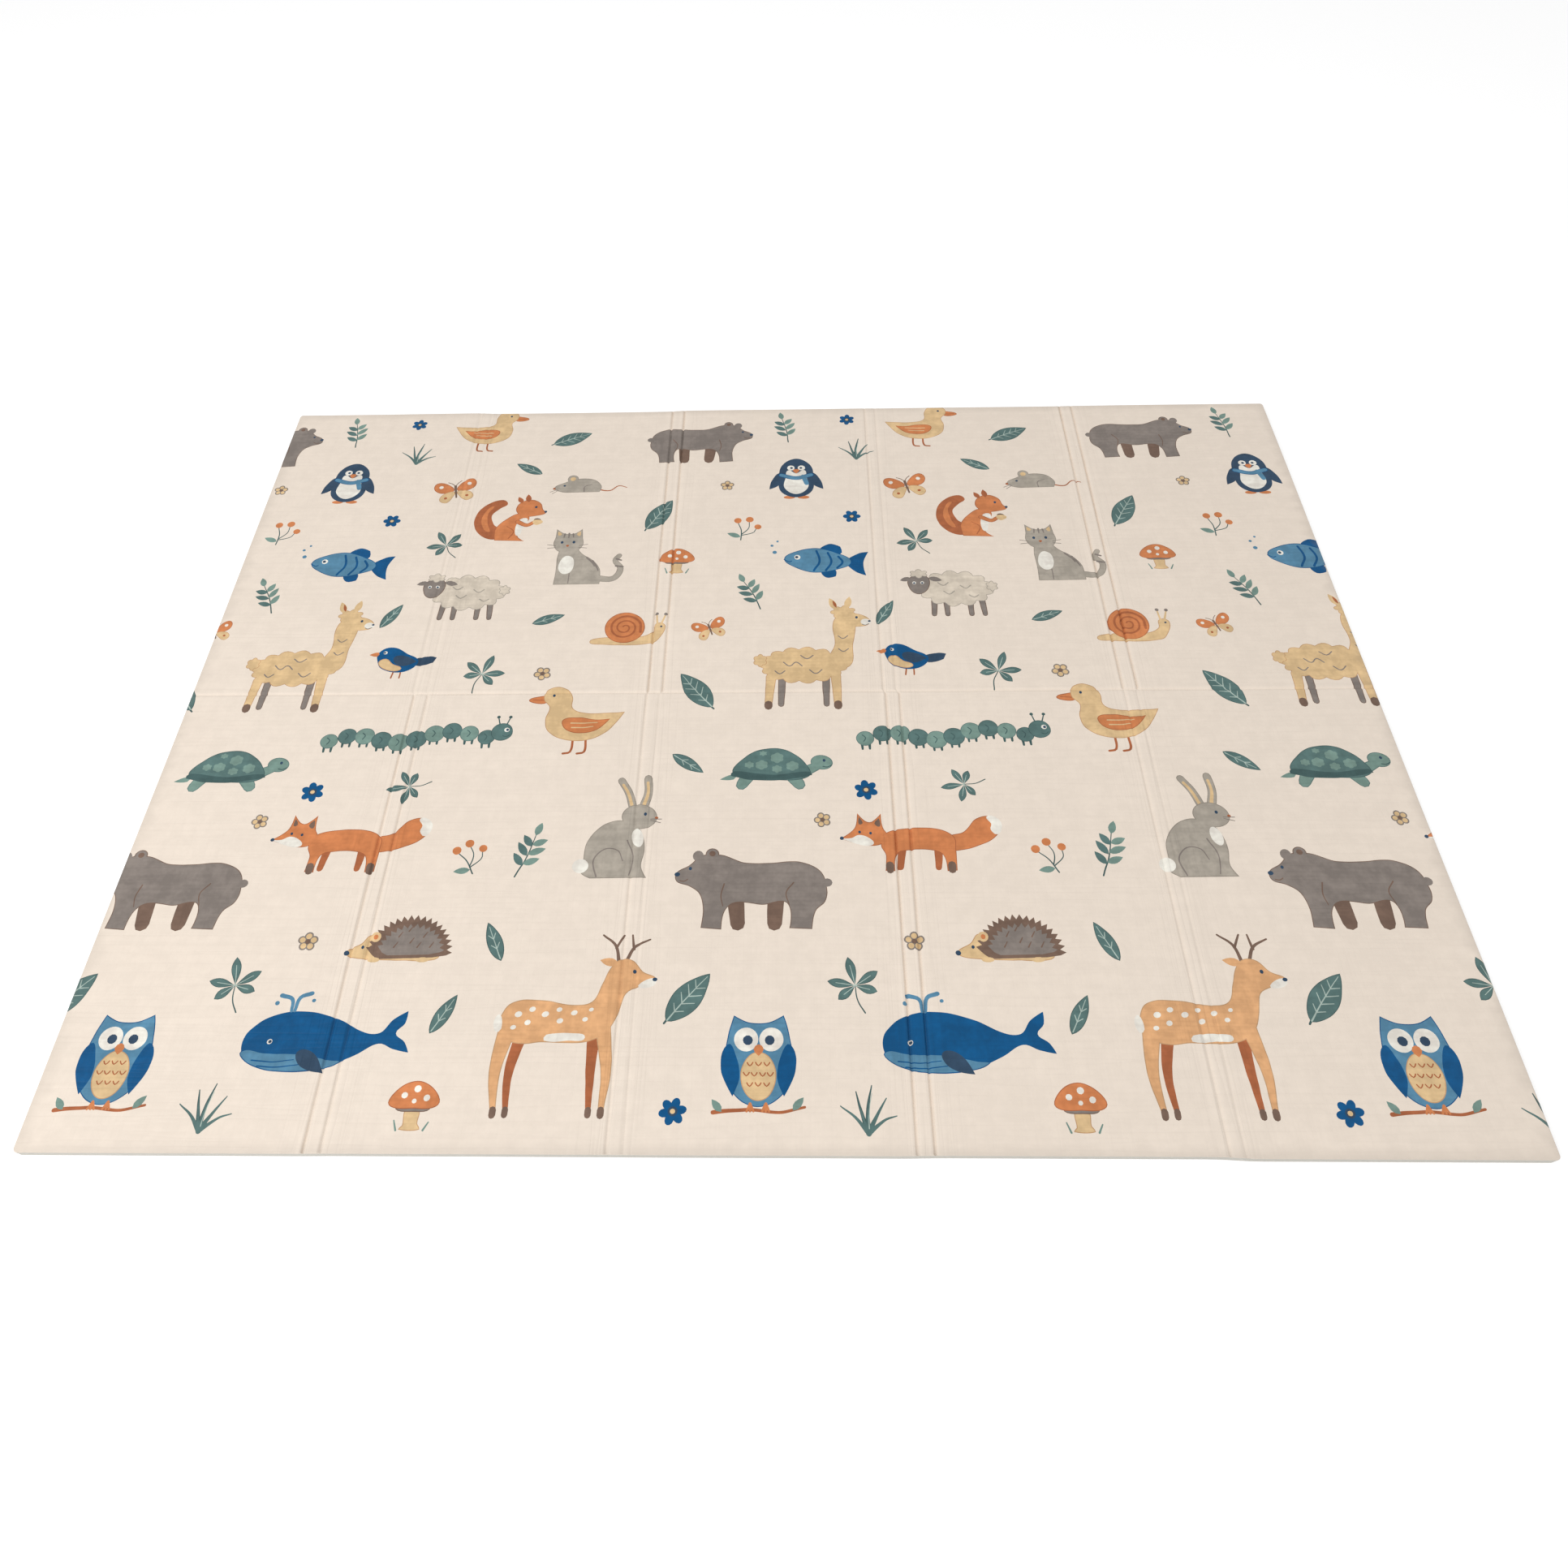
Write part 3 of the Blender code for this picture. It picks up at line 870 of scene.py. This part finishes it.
def edgeOffset(x, side):
    value = getattr(edgeOffsets[0], side)
    for left, right, offset in zip(creases[::2], creases[1::2], edgeOffsets[1:]):
        centre = 0.25 * (left.front + right.front + left.back + right.back)
        share = smoothStep((x - centre) / matSettings["edgeBlend"] + 0.5)
        value += (getattr(offset, side) - value) * share
    return value


# How far a point of the true rectangle is moved to the mat's real outline.
def outlineShift(x, y):
    reach = abs(x) / (0.5 * matSettings["width"])
    span = (y - creaseSettings["crossY"]) / (0.5 * matSettings["depth"])
    shiftX = -math.copysign(matSettings["sideBow"], x) * reach ** 3 * math.exp(-(span / 0.45) ** 2)
    side = "back" if span > 0 else "front"
    return shiftX, edgeOffset(x, side) * smoothStep(abs(span))


def creaseX(crease, y):
    nominal = 0.5 * (crease.front + crease.back)
    return crease.front + (crease.back - crease.front) * backShare(y) + outlineShift(nominal, y)[0]


def bell(distance, reach):
    return math.exp(-(distance / reach) ** 2)


# Height of the film beside the middle of a crease: a soft groove with a slight lip.
def creaseProfile(distance, depth):
    shoulder = creaseSettings["shoulder"]
    if distance > shoulder:
        return 0.0
    sharp, soft = creaseSettings["sharpReach"], creaseSettings["softReach"]
    reach = soft + (sharp - soft) * min(1.0, depth / creaseSettings["fullDepth"])
    return creaseSettings["lip"] * math.sin(math.pi * distance / shoulder) - depth * bell(distance, reach)


def unevenDepth(depth, along, number):
    stray = noise.noise(Vector((along / creaseSettings["unevenLength"], 3.7 * number, 0.5)))
    return depth * (1.0 + creaseSettings["uneven"] * stray)


# Depth of a point behind the mat's edge, on the true rectangle with round corners.
def edgeDistance(x, y):
    radius = matSettings["cornerRadius"]
    dx = abs(x) - 0.5 * matSettings["width"] + radius
    dy = abs(y) - 0.5 * matSettings["depth"] + radius
    outside = math.hypot(max(dx, 0.0), max(dy, 0.0))
    return radius - outside - min(max(dx, dy), 0.0)


def topHeight(x, y):
    height = matSettings["thickness"]
    height += matSettings["swell"] * math.sin(2 * math.pi * x / matSettings["swellLengthX"] + 0.7) * math.sin(
        2 * math.pi * y / matSettings["swellLengthY"] + 1.9)
    change = creaseProfile(
        abs(y - creaseSettings["crossY"]), unevenDepth(creaseSettings["crossDepth"], x, 9))
    share = backShare(y)
    for number, crease in enumerate(creases):
        distance = abs(x - creaseX(crease, y))
        if distance < creaseSettings["shoulder"]:
            depth = crease.frontDepth + (crease.backDepth - crease.frontDepth) * share
            across = creaseProfile(distance, unevenDepth(depth, y, number))
            change = min(change, across) if min(change, across) < 0.0 else max(change, across)
    shift = outlineShift(x, y)
    inside = max(0.0, edgeDistance(x - shift[0], y - shift[1]))
    rim = matSettings["rimRound"]
    if inside < rim:
        change = change * inside / rim + math.sqrt(rim ** 2 - (rim - inside) ** 2) - rim
    return height + change


# How close a point is to a fold, and how much painted shade and painted highlight the film gets there.
def creaseMarks(x, y):
    share = backShare(y)
    nearest, paintedShade, paintedHighlight = 1.0, 0.0, 0.0
    for number, crease in enumerate(creases):
        distance = abs(x - creaseX(crease, y))
        nearest = min(nearest, distance)
        if distance < 3 * creaseSettings["palePlace"]:
            depth = crease.frontDepth + (crease.backDepth - crease.frontDepth) * share
            strength = unevenDepth(depth, y, number) / creaseSettings["fullDepth"]
            # painted shade in the crease, painted highlight on its shoulders
            paintedShade += creaseSettings["paintedShade"] * strength * bell(distance, creaseSettings["paintedShadeReach"])
            paintedHighlight += strength * bell(distance - creaseSettings["palePlace"], creaseSettings["paleReach"])
    across = abs(y - creaseSettings["crossY"])
    # painted highlight along the crease across the mat
    paintedHighlight += creaseSettings["crossPale"] * bell(across, creaseSettings["paleReach"])
    shift = outlineShift(x, y)
    # painted shade along the mat's edge
    paintedShade += creaseSettings["rimPaintedShade"] * bell(edgeDistance(x - shift[0], y - shift[1]), creaseSettings["rimReach"])
    return bell(nearest, creaseSettings["nearby"]), min(paintedShade, 1.0), min(paintedHighlight, 1.0)


# A closed loop of points that lies inset behind the mat's edge.
def outlineLoop(inset):
    radius = matSettings["cornerRadius"] - inset
    halfX = 0.5 * matSettings["width"] - inset - radius
    halfY = 0.5 * matSettings["depth"] - inset - radius
    corners = ((halfX, halfY, 0), (-halfX, halfY, 90), (-halfX, -halfY, 180), (halfX, -halfY, 270))
    steps = matSettings["cornerSteps"]
    points = []
    for i, (x, y, start) in enumerate(corners):
        arc = []
        for k in range(steps + 1):
            angle = math.radians(start + 90 * k / steps)
            arc.append((x + radius * math.cos(angle), y + radius * math.sin(angle)))
        if points:
            points += between(points[-1], arc[0])
        points += arc
    points += between(points[-1], points[0])
    shifted = []
    for x, y in points:
        shift = outlineShift(x, y)
        shifted.append((x + shift[0], y + shift[1]))
    return shifted


def between(start, end):
    count = round(math.dist(start, end) / matSettings["pitch"])
    points = []
    for i in range(1, count):
        share = i / count
        points.append((start[0] + (end[0] - start[0]) * share, start[1] + (end[1] - start[1]) * share))
    return points


# Points and edges that the surface has to keep: rim, creases and the print's outlines.
def surfacePlan(printed):
    points, edges = [], []

    def keep(path, closed):
        first = len(points)
        points.extend(path)
        last = len(points) - 1
        edges.extend((i, i + 1) for i in range(first, last))
        if closed:
            edges.append((last, first))

    for share in matSettings["rimLoops"]:
        keep(outlineLoop(share * matSettings["rimRound"]), True)
    halfX, halfY = 0.5 * matSettings["width"], 0.5 * matSettings["depth"]
    step = creaseSettings["step"]
    for offset in creaseSettings["lines"]:
        for side in (-1, 1) if offset else (1,):
            rows = round(2 * halfY / step)
            heights = [-halfY - 0.004 + (2 * halfY + 0.008) * i / rows for i in range(rows + 1)]
            for crease in creases:
                keep([(creaseX(crease, y) + side * offset, y) for y in heights], False)
            columns = round(2 * halfX / step)
            y = creaseSettings["crossY"] + side * offset
            keep([(-halfX - 0.004 + (2 * halfX + 0.008) * i / columns, y) for i in range(columns + 1)], False)
    for ink, outline in printed:
        keep(outline, True)

    dice = random.Random(matSettings["seed"])
    pitch, jitter = matSettings["pitch"], matSettings["jitter"]
    clearing = creaseSettings["shoulder"] + 0.5 * jitter
    rowHeight = pitch * math.sqrt(0.75)
    for row in range(1, int(2 * halfY / rowHeight)):
        for column in range(1, int(2 * halfX / pitch)):
            x = -halfX + pitch * (column + 0.5 * (row % 2)) + dice.uniform(-jitter, jitter)
            y = -halfY + rowHeight * row + dice.uniform(-jitter, jitter)
            nearest = min(abs(x - creaseX(crease, y)) for crease in creases)
            nearest = min(nearest, abs(y - creaseSettings["crossY"]))
            if nearest > clearing and edgeDistance(x, y) > 2.5 * matSettings["rimRound"]:
                points.append((x, y))
    return points, edges


# Which of the spots lie inside a closed outline.
def insideOutline(spots, outline):
    x, y = spots[:, 0:1], spots[:, 1:2]
    ax, ay = outline[:, 0], outline[:, 1]
    bx, by = numpy.roll(ax, -1), numpy.roll(ay, -1)
    side = (bx - ax) * (y - ay) - (x - ax) * (by - ay)
    upward = (ay <= y) & (by > y) & (side > 0)
    downward = (ay > y) & (by <= y) & (side < 0)
    return upward.sum(axis=1) != downward.sum(axis=1)


# Gives every triangle the number of the topmost ink that covers it.
def inkOfTriangles(centres, printed, inkNumbers):
    numbers = numpy.zeros(len(centres), dtype=int)
    order = numpy.argsort(centres[:, 0])
    sortedX = centres[order, 0]
    for ink, outline in printed:
        shape = numpy.array(outline)
        low, high = shape.min(axis=0), shape.max(axis=0)
        near = order[numpy.searchsorted(sortedX, low[0]):numpy.searchsorted(sortedX, high[0])]
        near = near[(centres[near, 1] > low[1]) & (centres[near, 1] < high[1])]
        if len(near):
            numbers[near[insideOutline(centres[near], shape)]] = inkNumbers[ink]
    return numbers


def srgb(red, green, blue):
    values = []
    for level in (red, green, blue):
        share = level / 255
        values.append(share / 12.92 if share <= 0.04045 else ((share + 0.055) / 1.055) ** 2.4)
    return (*values, 1.0)


filmSettings = {
    "ground": srgb(241, 227, 212),
    "roughness": 0.46,
    "roughnessChange": 0.08,
    "specular": 0.18,
    "bump": 0.75,
    "bumpHeight": 0.0006,
    "rowsPerMetre": (2.4, 62.0, 1.0),      # faint embossed lines along the mat
    "columnsPerMetre": (74.0, 1.9, 1.0),   # and across it
    "grainPerMetre": 330.0,
    "cloudsPerMetre": 5.0,
    "groundClouds": 0.030,                 # how much lighter and darker the colours go
    "inkClouds": 0.15,
    "patchesPerMetre": 46.0,
    "inkGrainPerMetre": 150.0,
    "paintedRowShade": 0.30,                       # painted shade: the embossed lines are painted a little darker
    # colour and share of the painted shade in the creases and along the mat's edge
    "paintedShade": srgb(146, 138, 128),
    "paintedShadeShare": 0.24,
    "paleShare": 0.32,
    "paleLift": 0.13,                      # how much lighter the painted highlight makes the film
}
inks = {
    "orange": srgb(215, 134, 84),
    "rust": srgb(178, 104, 66),
    "tan": srgb(230, 176, 126),
    "sand": srgb(229, 196, 148),
    "cream": srgb(244, 237, 226),
    "wool": srgb(224, 211, 193),
    "grey": srgb(178, 169, 156),
    "taupe": srgb(140, 130, 123),
    "umber": srgb(124, 100, 86),
    "navy": srgb(52, 76, 100),
    "blue": srgb(4, 86, 138),
    "sky": srgb(90, 140, 170),
    "teal": srgb(92, 121, 118),
    "leaf": srgb(124, 152, 142),
    "pine": srgb(70, 97, 96),
    "mint": srgb(180, 197, 187),
    "clay": srgb(203, 160, 118),
    "stone": srgb(156, 146, 134),
}
edgeSettings = {
    # the foam's own grey, darkened further as painted shade of the side face
    "colour": srgb(202, 198, 189),
    "darker": srgb(191, 187, 178),
    "roughness": 0.58,
    "bump": 0.4,
    "bumpHeight": 0.0004,
    "pores": 900.0,
}
undersideSettings = {
    "colour": srgb(238, 232, 223),
    "darker": srgb(228, 221, 211),
    "roughness": 0.55,
    "bump": 0.5,
    "bumpHeight": 0.0004,
    "diamonds": 90.0,
}


# Wraps a socket, so that an expression on values adds its Math nodes.
class Wire:
    def __init__(self, tree, socket=None):
        self.tree = tree
        self.socket = socket

    # A new node: its settings go first, then the values or links of its sockets.
    def add(self, kind, settings, inputs, output=0):
        node = self.tree.nodes.new(kind)
        for key, value in settings.items():
            setattr(node, key, value)
        for key, value in inputs.items():
            self.feed(node.inputs[key], value)
        return Wire(self.tree, node.outputs[output])

    def feed(self, socket, value):
        if isinstance(value, Wire):
            self.tree.links.new(value.socket, socket)
        else:
            socket.default_value = value

    def maths(self, operation, first, second):
        return self.add("ShaderNodeMath", {"operation": operation}, {0: first, 1: second})

    def __add__(self, other):
        return self.maths("ADD", self, other)

    def __radd__(self, other):
        return self.maths("ADD", other, self)

    def __sub__(self, other):
        return self.maths("SUBTRACT", self, other)

    def __rsub__(self, other):
        return self.maths("SUBTRACT", other, self)

    def __mul__(self, other):
        return self.maths("MULTIPLY", self, other)

    def __rmul__(self, other):
        return self.maths("MULTIPLY", other, self)

    def __pow__(self, other):
        return self.maths("POWER", self, other)

    def size(self):
        return self.maths("ABSOLUTE", self, 0.0)

    def stretched(self, scale):
        return self.add("ShaderNodeMapping", {}, {"Vector": self, "Scale": scale})

    def cloud(self, scale, detail=2.0):
        return self.add("ShaderNodeTexNoise", {}, {"Vector": self, "Scale": scale, "Detail": detail})

    def mix(self, first, second):
        settings = {"data_type": "RGBA"}
        return self.add("ShaderNodeMix", settings, {0: self, 6: first, 7: second}, 2)


def newMaterial(name):
    material = bpy.data.materials.new(name)
    material.use_nodes = True
    return material, material.node_tree.nodes["Principled BSDF"], Wire(material.node_tree)


# A thin line wherever a cloud passes its middle value.
def ridge(cloud, sharpness):
    return (1.0 - (cloud * 2.0 - 1.0).size()) ** sharpness


def shaded(colour, share):
    return (*(min(1.0, level * (1.0 + share)) for level in colour[:3]), 1.0)


def filmMaterial(name, colour, clouds):
    material, shader, wire = newMaterial(name)
    place = wire.add("ShaderNodeTexCoord", {}, {}, "Object")
    nearFold, paintedShade, paintedHighlight = (
        wire.add("ShaderNodeAttribute", {"attribute_name": mark}, {}, "Fac") for mark in ("nearFold", "paintedShade", "paintedHighlight"))
    rows = ridge(place.stretched(filmSettings["rowsPerMetre"]).cloud(1.0), 9.0)
    columns = ridge(place.stretched(filmSettings["columnsPerMetre"]).cloud(1.0), 9.0)
    grain = place.cloud(filmSettings["grainPerMetre"], 1.0)
    emboss = 1.0 - rows * 0.5 - columns * (0.22 + nearFold * 0.7) + grain * 0.25
    bump = wire.add("ShaderNodeBump", {}, {
        "Strength": filmSettings["bump"], "Distance": filmSettings["bumpHeight"], "Height": emboss})
    wide = place.cloud(filmSettings["cloudsPerMetre"])
    patches = place.cloud(filmSettings["patchesPerMetre"])
    fine = place.cloud(filmSettings["inkGrainPerMetre"], 1.0)
    tone = wide * 0.8 + patches * 2.0 + fine * 0.8 - 1.3
    # painted shade in the embossed lines, stronger near the folds
    tone = tone - (rows + columns * (0.3 + nearFold)) * filmSettings["paintedRowShade"]
    film = tone.mix(shaded(colour, -clouds), shaded(colour, clouds))
    # painted highlight beside the creases and along the crease across the mat
    film = (paintedHighlight * filmSettings["paleShare"]).mix(film, shaded(colour, filmSettings["paleLift"]))
    # painted shade in the creases and along the mat's edge
    film = (paintedShade * filmSettings["paintedShadeShare"]).mix(film, filmSettings["paintedShade"])
    wire.feed(shader.inputs["Base Color"], film)
    shader.inputs["Specular IOR Level"].default_value = filmSettings["specular"]
    middle, change = filmSettings["roughness"], filmSettings["roughnessChange"]
    wire.feed(shader.inputs["Roughness"], wide * (2.0 * change) + (middle - change))
    wire.feed(shader.inputs["Normal"], bump)
    return material


def edgeMaterial():
    material, shader, wire = newMaterial("foam_edge")
    place = wire.add("ShaderNodeTexCoord", {}, {}, "Object")
    pores = place.cloud(edgeSettings["pores"], 2.0)
    wide = place.cloud(28.0)
    bump = wire.add("ShaderNodeBump", {}, {
        "Strength": edgeSettings["bump"], "Distance": edgeSettings["bumpHeight"], "Height": pores})
    tone = wide * 0.6 + pores * 0.4
    wire.feed(shader.inputs["Base Color"], tone.mix(edgeSettings["darker"], edgeSettings["colour"]))
    wire.feed(shader.inputs["Roughness"], wide * 0.1 + edgeSettings["roughness"])
    wire.feed(shader.inputs["Normal"], bump)
    return material


def undersideMaterial():
    material, shader, wire = newMaterial("underside_film")
    place = wire.add("ShaderNodeTexCoord", {}, {}, "Object")
    turned = place.add("ShaderNodeMapping", {}, {"Vector": place, "Rotation": (0.0, 0.0, math.radians(45))})
    cells = turned.add("ShaderNodeTexVoronoi", {"distance": "CHEBYCHEV"}, {
        "Vector": turned, "Scale": undersideSettings["diamonds"], "Randomness": 0.0})
    wide = place.cloud(6.0)
    bump = wire.add("ShaderNodeBump", {}, {
        "Strength": undersideSettings["bump"], "Distance": undersideSettings["bumpHeight"], "Height": cells})
    wire.feed(shader.inputs["Base Color"], wide.mix(undersideSettings["darker"], undersideSettings["colour"]))
    wire.feed(shader.inputs["Roughness"], wide * 0.12 + undersideSettings["roughness"])
    wire.feed(shader.inputs["Normal"], bump)
    return material


def buildMat():
    width, depth = matSettings["width"], matSettings["depth"]
    printed = []
    for ink, outline in printShapes(1000 * width, 1000 * depth):
        placed = [(0.001 * x - 0.5 * width, 0.001 * y - 0.5 * depth) for x, y in outline]
        printed.append((ink, placed))
    print("print laid out:", len(printed), "shapes")

    points, edges = surfacePlan(printed)
    # the net is worked out in millimetres, which suits the tolerance
    plan = [Vector((1000 * x, 1000 * y)) for x, y in points]
    net = delaunay_2d_cdt(plan, edges, [], 0, 0.0005, False)
    flat = numpy.array([(spot.x, spot.y) for spot in net[0]]) * 0.001
    triangles = numpy.array([face for face in net[2] if len(face) == 3])
    centres = flat[triangles].mean(axis=1)
    rim = numpy.array(outlineLoop(0.0))
    kept = insideOutline(centres, rim)
    triangles, centres = triangles[kept], centres[kept]
    corners = flat[triangles]
    doubled = numpy.cross(corners[:, 1] - corners[:, 0], corners[:, 2] - corners[:, 0])
    triangles[doubled < 0] = triangles[doubled < 0][:, ::-1]
    print("surface net:", len(triangles), "triangles")

    inkNumbers = {ink: number + 1 for number, ink in enumerate(inks)}
    slots = inkOfTriangles(centres, printed, inkNumbers)
    used, triangles = numpy.unique(triangles, return_inverse=True)
    triangles = triangles.reshape(-1, 3)
    verts = [(x, y, topHeight(x, y)) for x, y in flat[used]]
    faces = triangles.tolist()
    slotOfFace = slots.tolist()
    uvs = []
    for face in faces:
        uvs.append([(0.5 + verts[i][0] / width * 0.996, 0.375 + verts[i][1] / depth * 0.746) for i in face])

    # the side runs down from the open edge of the upper face
    ways = set()
    for a, b, c in faces:
        ways.update(((a, b), (b, c), (c, a)))
    follows = {a: b for a, b in ways if (b, a) not in ways}
    ring = [min(follows)]
    while follows[ring[-1]] != ring[0]:
        ring.append(follows[ring[-1]])
    count = len(ring)
    bevel = matSettings["footBevel"]
    lower, foot = len(verts), len(verts) + count
    for i in ring:
        verts.append((verts[i][0], verts[i][1], bevel))
    for i in ring:
        x, y = verts[i][:2]
        verts.append((x - math.copysign(bevel, x) * (abs(x) > 0.5 * width - 0.02),
                      y - math.copysign(bevel, y) * (abs(y) > 0.5 * depth - 0.02), 0.0))
    edgeSlot, undersideSlot = len(inks) + 1, len(inks) + 2
    for i in range(count):
        k = (i + 1) % count
        u, w = i / count, (i + 1) / count
        faces.append([ring[i], lower + i, lower + k, ring[k]])
        uvs.append([(u, 0.995), (u, 0.983), (w, 0.983), (w, 0.995)])
        faces.append([lower + i, foot + i, foot + k, lower + k])
        uvs.append([(u, 0.983), (u, 0.977), (w, 0.977), (w, 0.983)])
        slotOfFace += [edgeSlot, edgeSlot]
    faces.append([foot + i for i in range(count)][::-1])
    uvs.append([(0.5 + verts[i][0] / width * 0.996, 0.865 + verts[i][1] / depth * 0.2) for i in faces[-1]])
    slotOfFace.append(undersideSlot)

    mesh = bpy.data.meshes.new("printed_mat")
    mesh.from_pydata(verts, [], faces)
    mesh.materials.append(filmMaterial("film_ground", filmSettings["ground"], filmSettings["groundClouds"]))
    for ink, colour in inks.items():
        mesh.materials.append(filmMaterial("film_" + ink, colour, filmSettings["inkClouds"]))
    mesh.materials.append(edgeMaterial())
    mesh.materials.append(undersideMaterial())
    mesh.polygons.foreach_set("material_index", slotOfFace)
    layer = mesh.uv_layers.new(name="OFBake")
    layer.data.foreach_set("uv", [value for face in uvs for uv in face for value in uv])
    # nearness to a fold, painted shade and painted highlight, as attributes for the film
    marks = [creaseMarks(x, y) for x, y, z in verts]
    for name, values in zip(("nearFold", "paintedShade", "paintedHighlight"), zip(*marks)):
        mesh.attributes.new(name, "FLOAT", "POINT").data.foreach_set("value", values)
    mesh.validate(clean_customdata=False)
    mesh.update()

    mat = bpy.data.objects.new("printed_mat", mesh)
    bpy.context.scene.collection.objects.link(mat)
    bpy.ops.object.select_all(action="DESELECT")
    mat.select_set(True)
    bpy.context.view_layer.objects.active = mat
    bpy.ops.object.shade_smooth_by_angle(angle=math.radians(50))
    mat.select_set(False)
    print("mat built")
    return mat


stageSettings = {
    "floorSize": 30.0,
    "floorDrop": 0.0004,
    "floorColour": (0.93, 0.93, 0.93, 1.0),
    "floorRoughness": 0.9,
    "floorGlow": 0.30,        # lifts the floor to the clean white of a studio picture
    "worldColour": (1.0, 1.0, 1.0, 1.0),
    "worldStrength": 0.62,
}
Lamp = namedtuple("Lamp", "name place target size power")
lamps = [
    Lamp("softbox", (-2.6, -1.7, 3.1), (0.1, 0.1, 0.0), 3.2, 78.0),
    Lamp("fill", (2.4, 0.0, 3.4), (0.0, -0.2, 0.0), 3.6, 14.0),
]
cameraSettings = {
    "place": (0.0225, -1.0753, 1.3955),
    "turn": (33.02, 1.281, 0.539),
    "lens": 23.76,
    "sensor": 36.0,
    "shiftX": 0.0128,
}


def buildStage():
    bpy.ops.object.select_all(action="DESELECT")
    bpy.ops.mesh.primitive_plane_add(size=stageSettings["floorSize"], location=(0, 0, 0))
    floor = bpy.context.object
    floor.name = "floor"
    for vert in floor.data.vertices:
        vert.co.z = -stageSettings["floorDrop"]
    material, shader, wire = newMaterial("pale_floor")
    shader.inputs["Base Color"].default_value = stageSettings["floorColour"]
    shader.inputs["Roughness"].default_value = stageSettings["floorRoughness"]
    shader.inputs["Emission Color"].default_value = stageSettings["worldColour"]
    shader.inputs["Emission Strength"].default_value = stageSettings["floorGlow"]
    floor.data.materials.append(material)
    floor.select_set(False)

    world = bpy.data.worlds.new("studio")
    world.use_nodes = True
    background = world.node_tree.nodes["Background"]
    background.inputs["Color"].default_value = stageSettings["worldColour"]
    background.inputs["Strength"].default_value = stageSettings["worldStrength"]
    bpy.context.scene.world = world

    for lamp in lamps:
        light = bpy.data.lights.new(lamp.name, "AREA")
        light.shape = "DISK"
        light.size = lamp.size
        light.energy = lamp.power
        holder = bpy.data.objects.new(lamp.name, light)
        holder.location = lamp.place
        aim = Vector(lamp.target) - Vector(lamp.place)
        holder.rotation_euler = aim.to_track_quat("-Z", "Y").to_euler()
        bpy.context.scene.collection.objects.link(holder)
    bpy.context.scene.view_settings.view_transform = "Standard"
    print("floor and light set")


def buildCamera():
    camera = bpy.data.cameras.new("camera")
    camera.lens = cameraSettings["lens"]
    camera.sensor_width = cameraSettings["sensor"]
    camera.shift_x = cameraSettings["shiftX"]
    holder = bpy.data.objects.new("camera", camera)
    holder.location = cameraSettings["place"]
    holder.rotation_euler = [math.radians(angle) for angle in cameraSettings["turn"]]
    bpy.context.scene.collection.objects.link(holder)
    bpy.context.scene.camera = holder
    print("camera set")


buildCamera()
buildStage()
mat = buildMat()
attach(mat, "root")
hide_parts("play_mat")
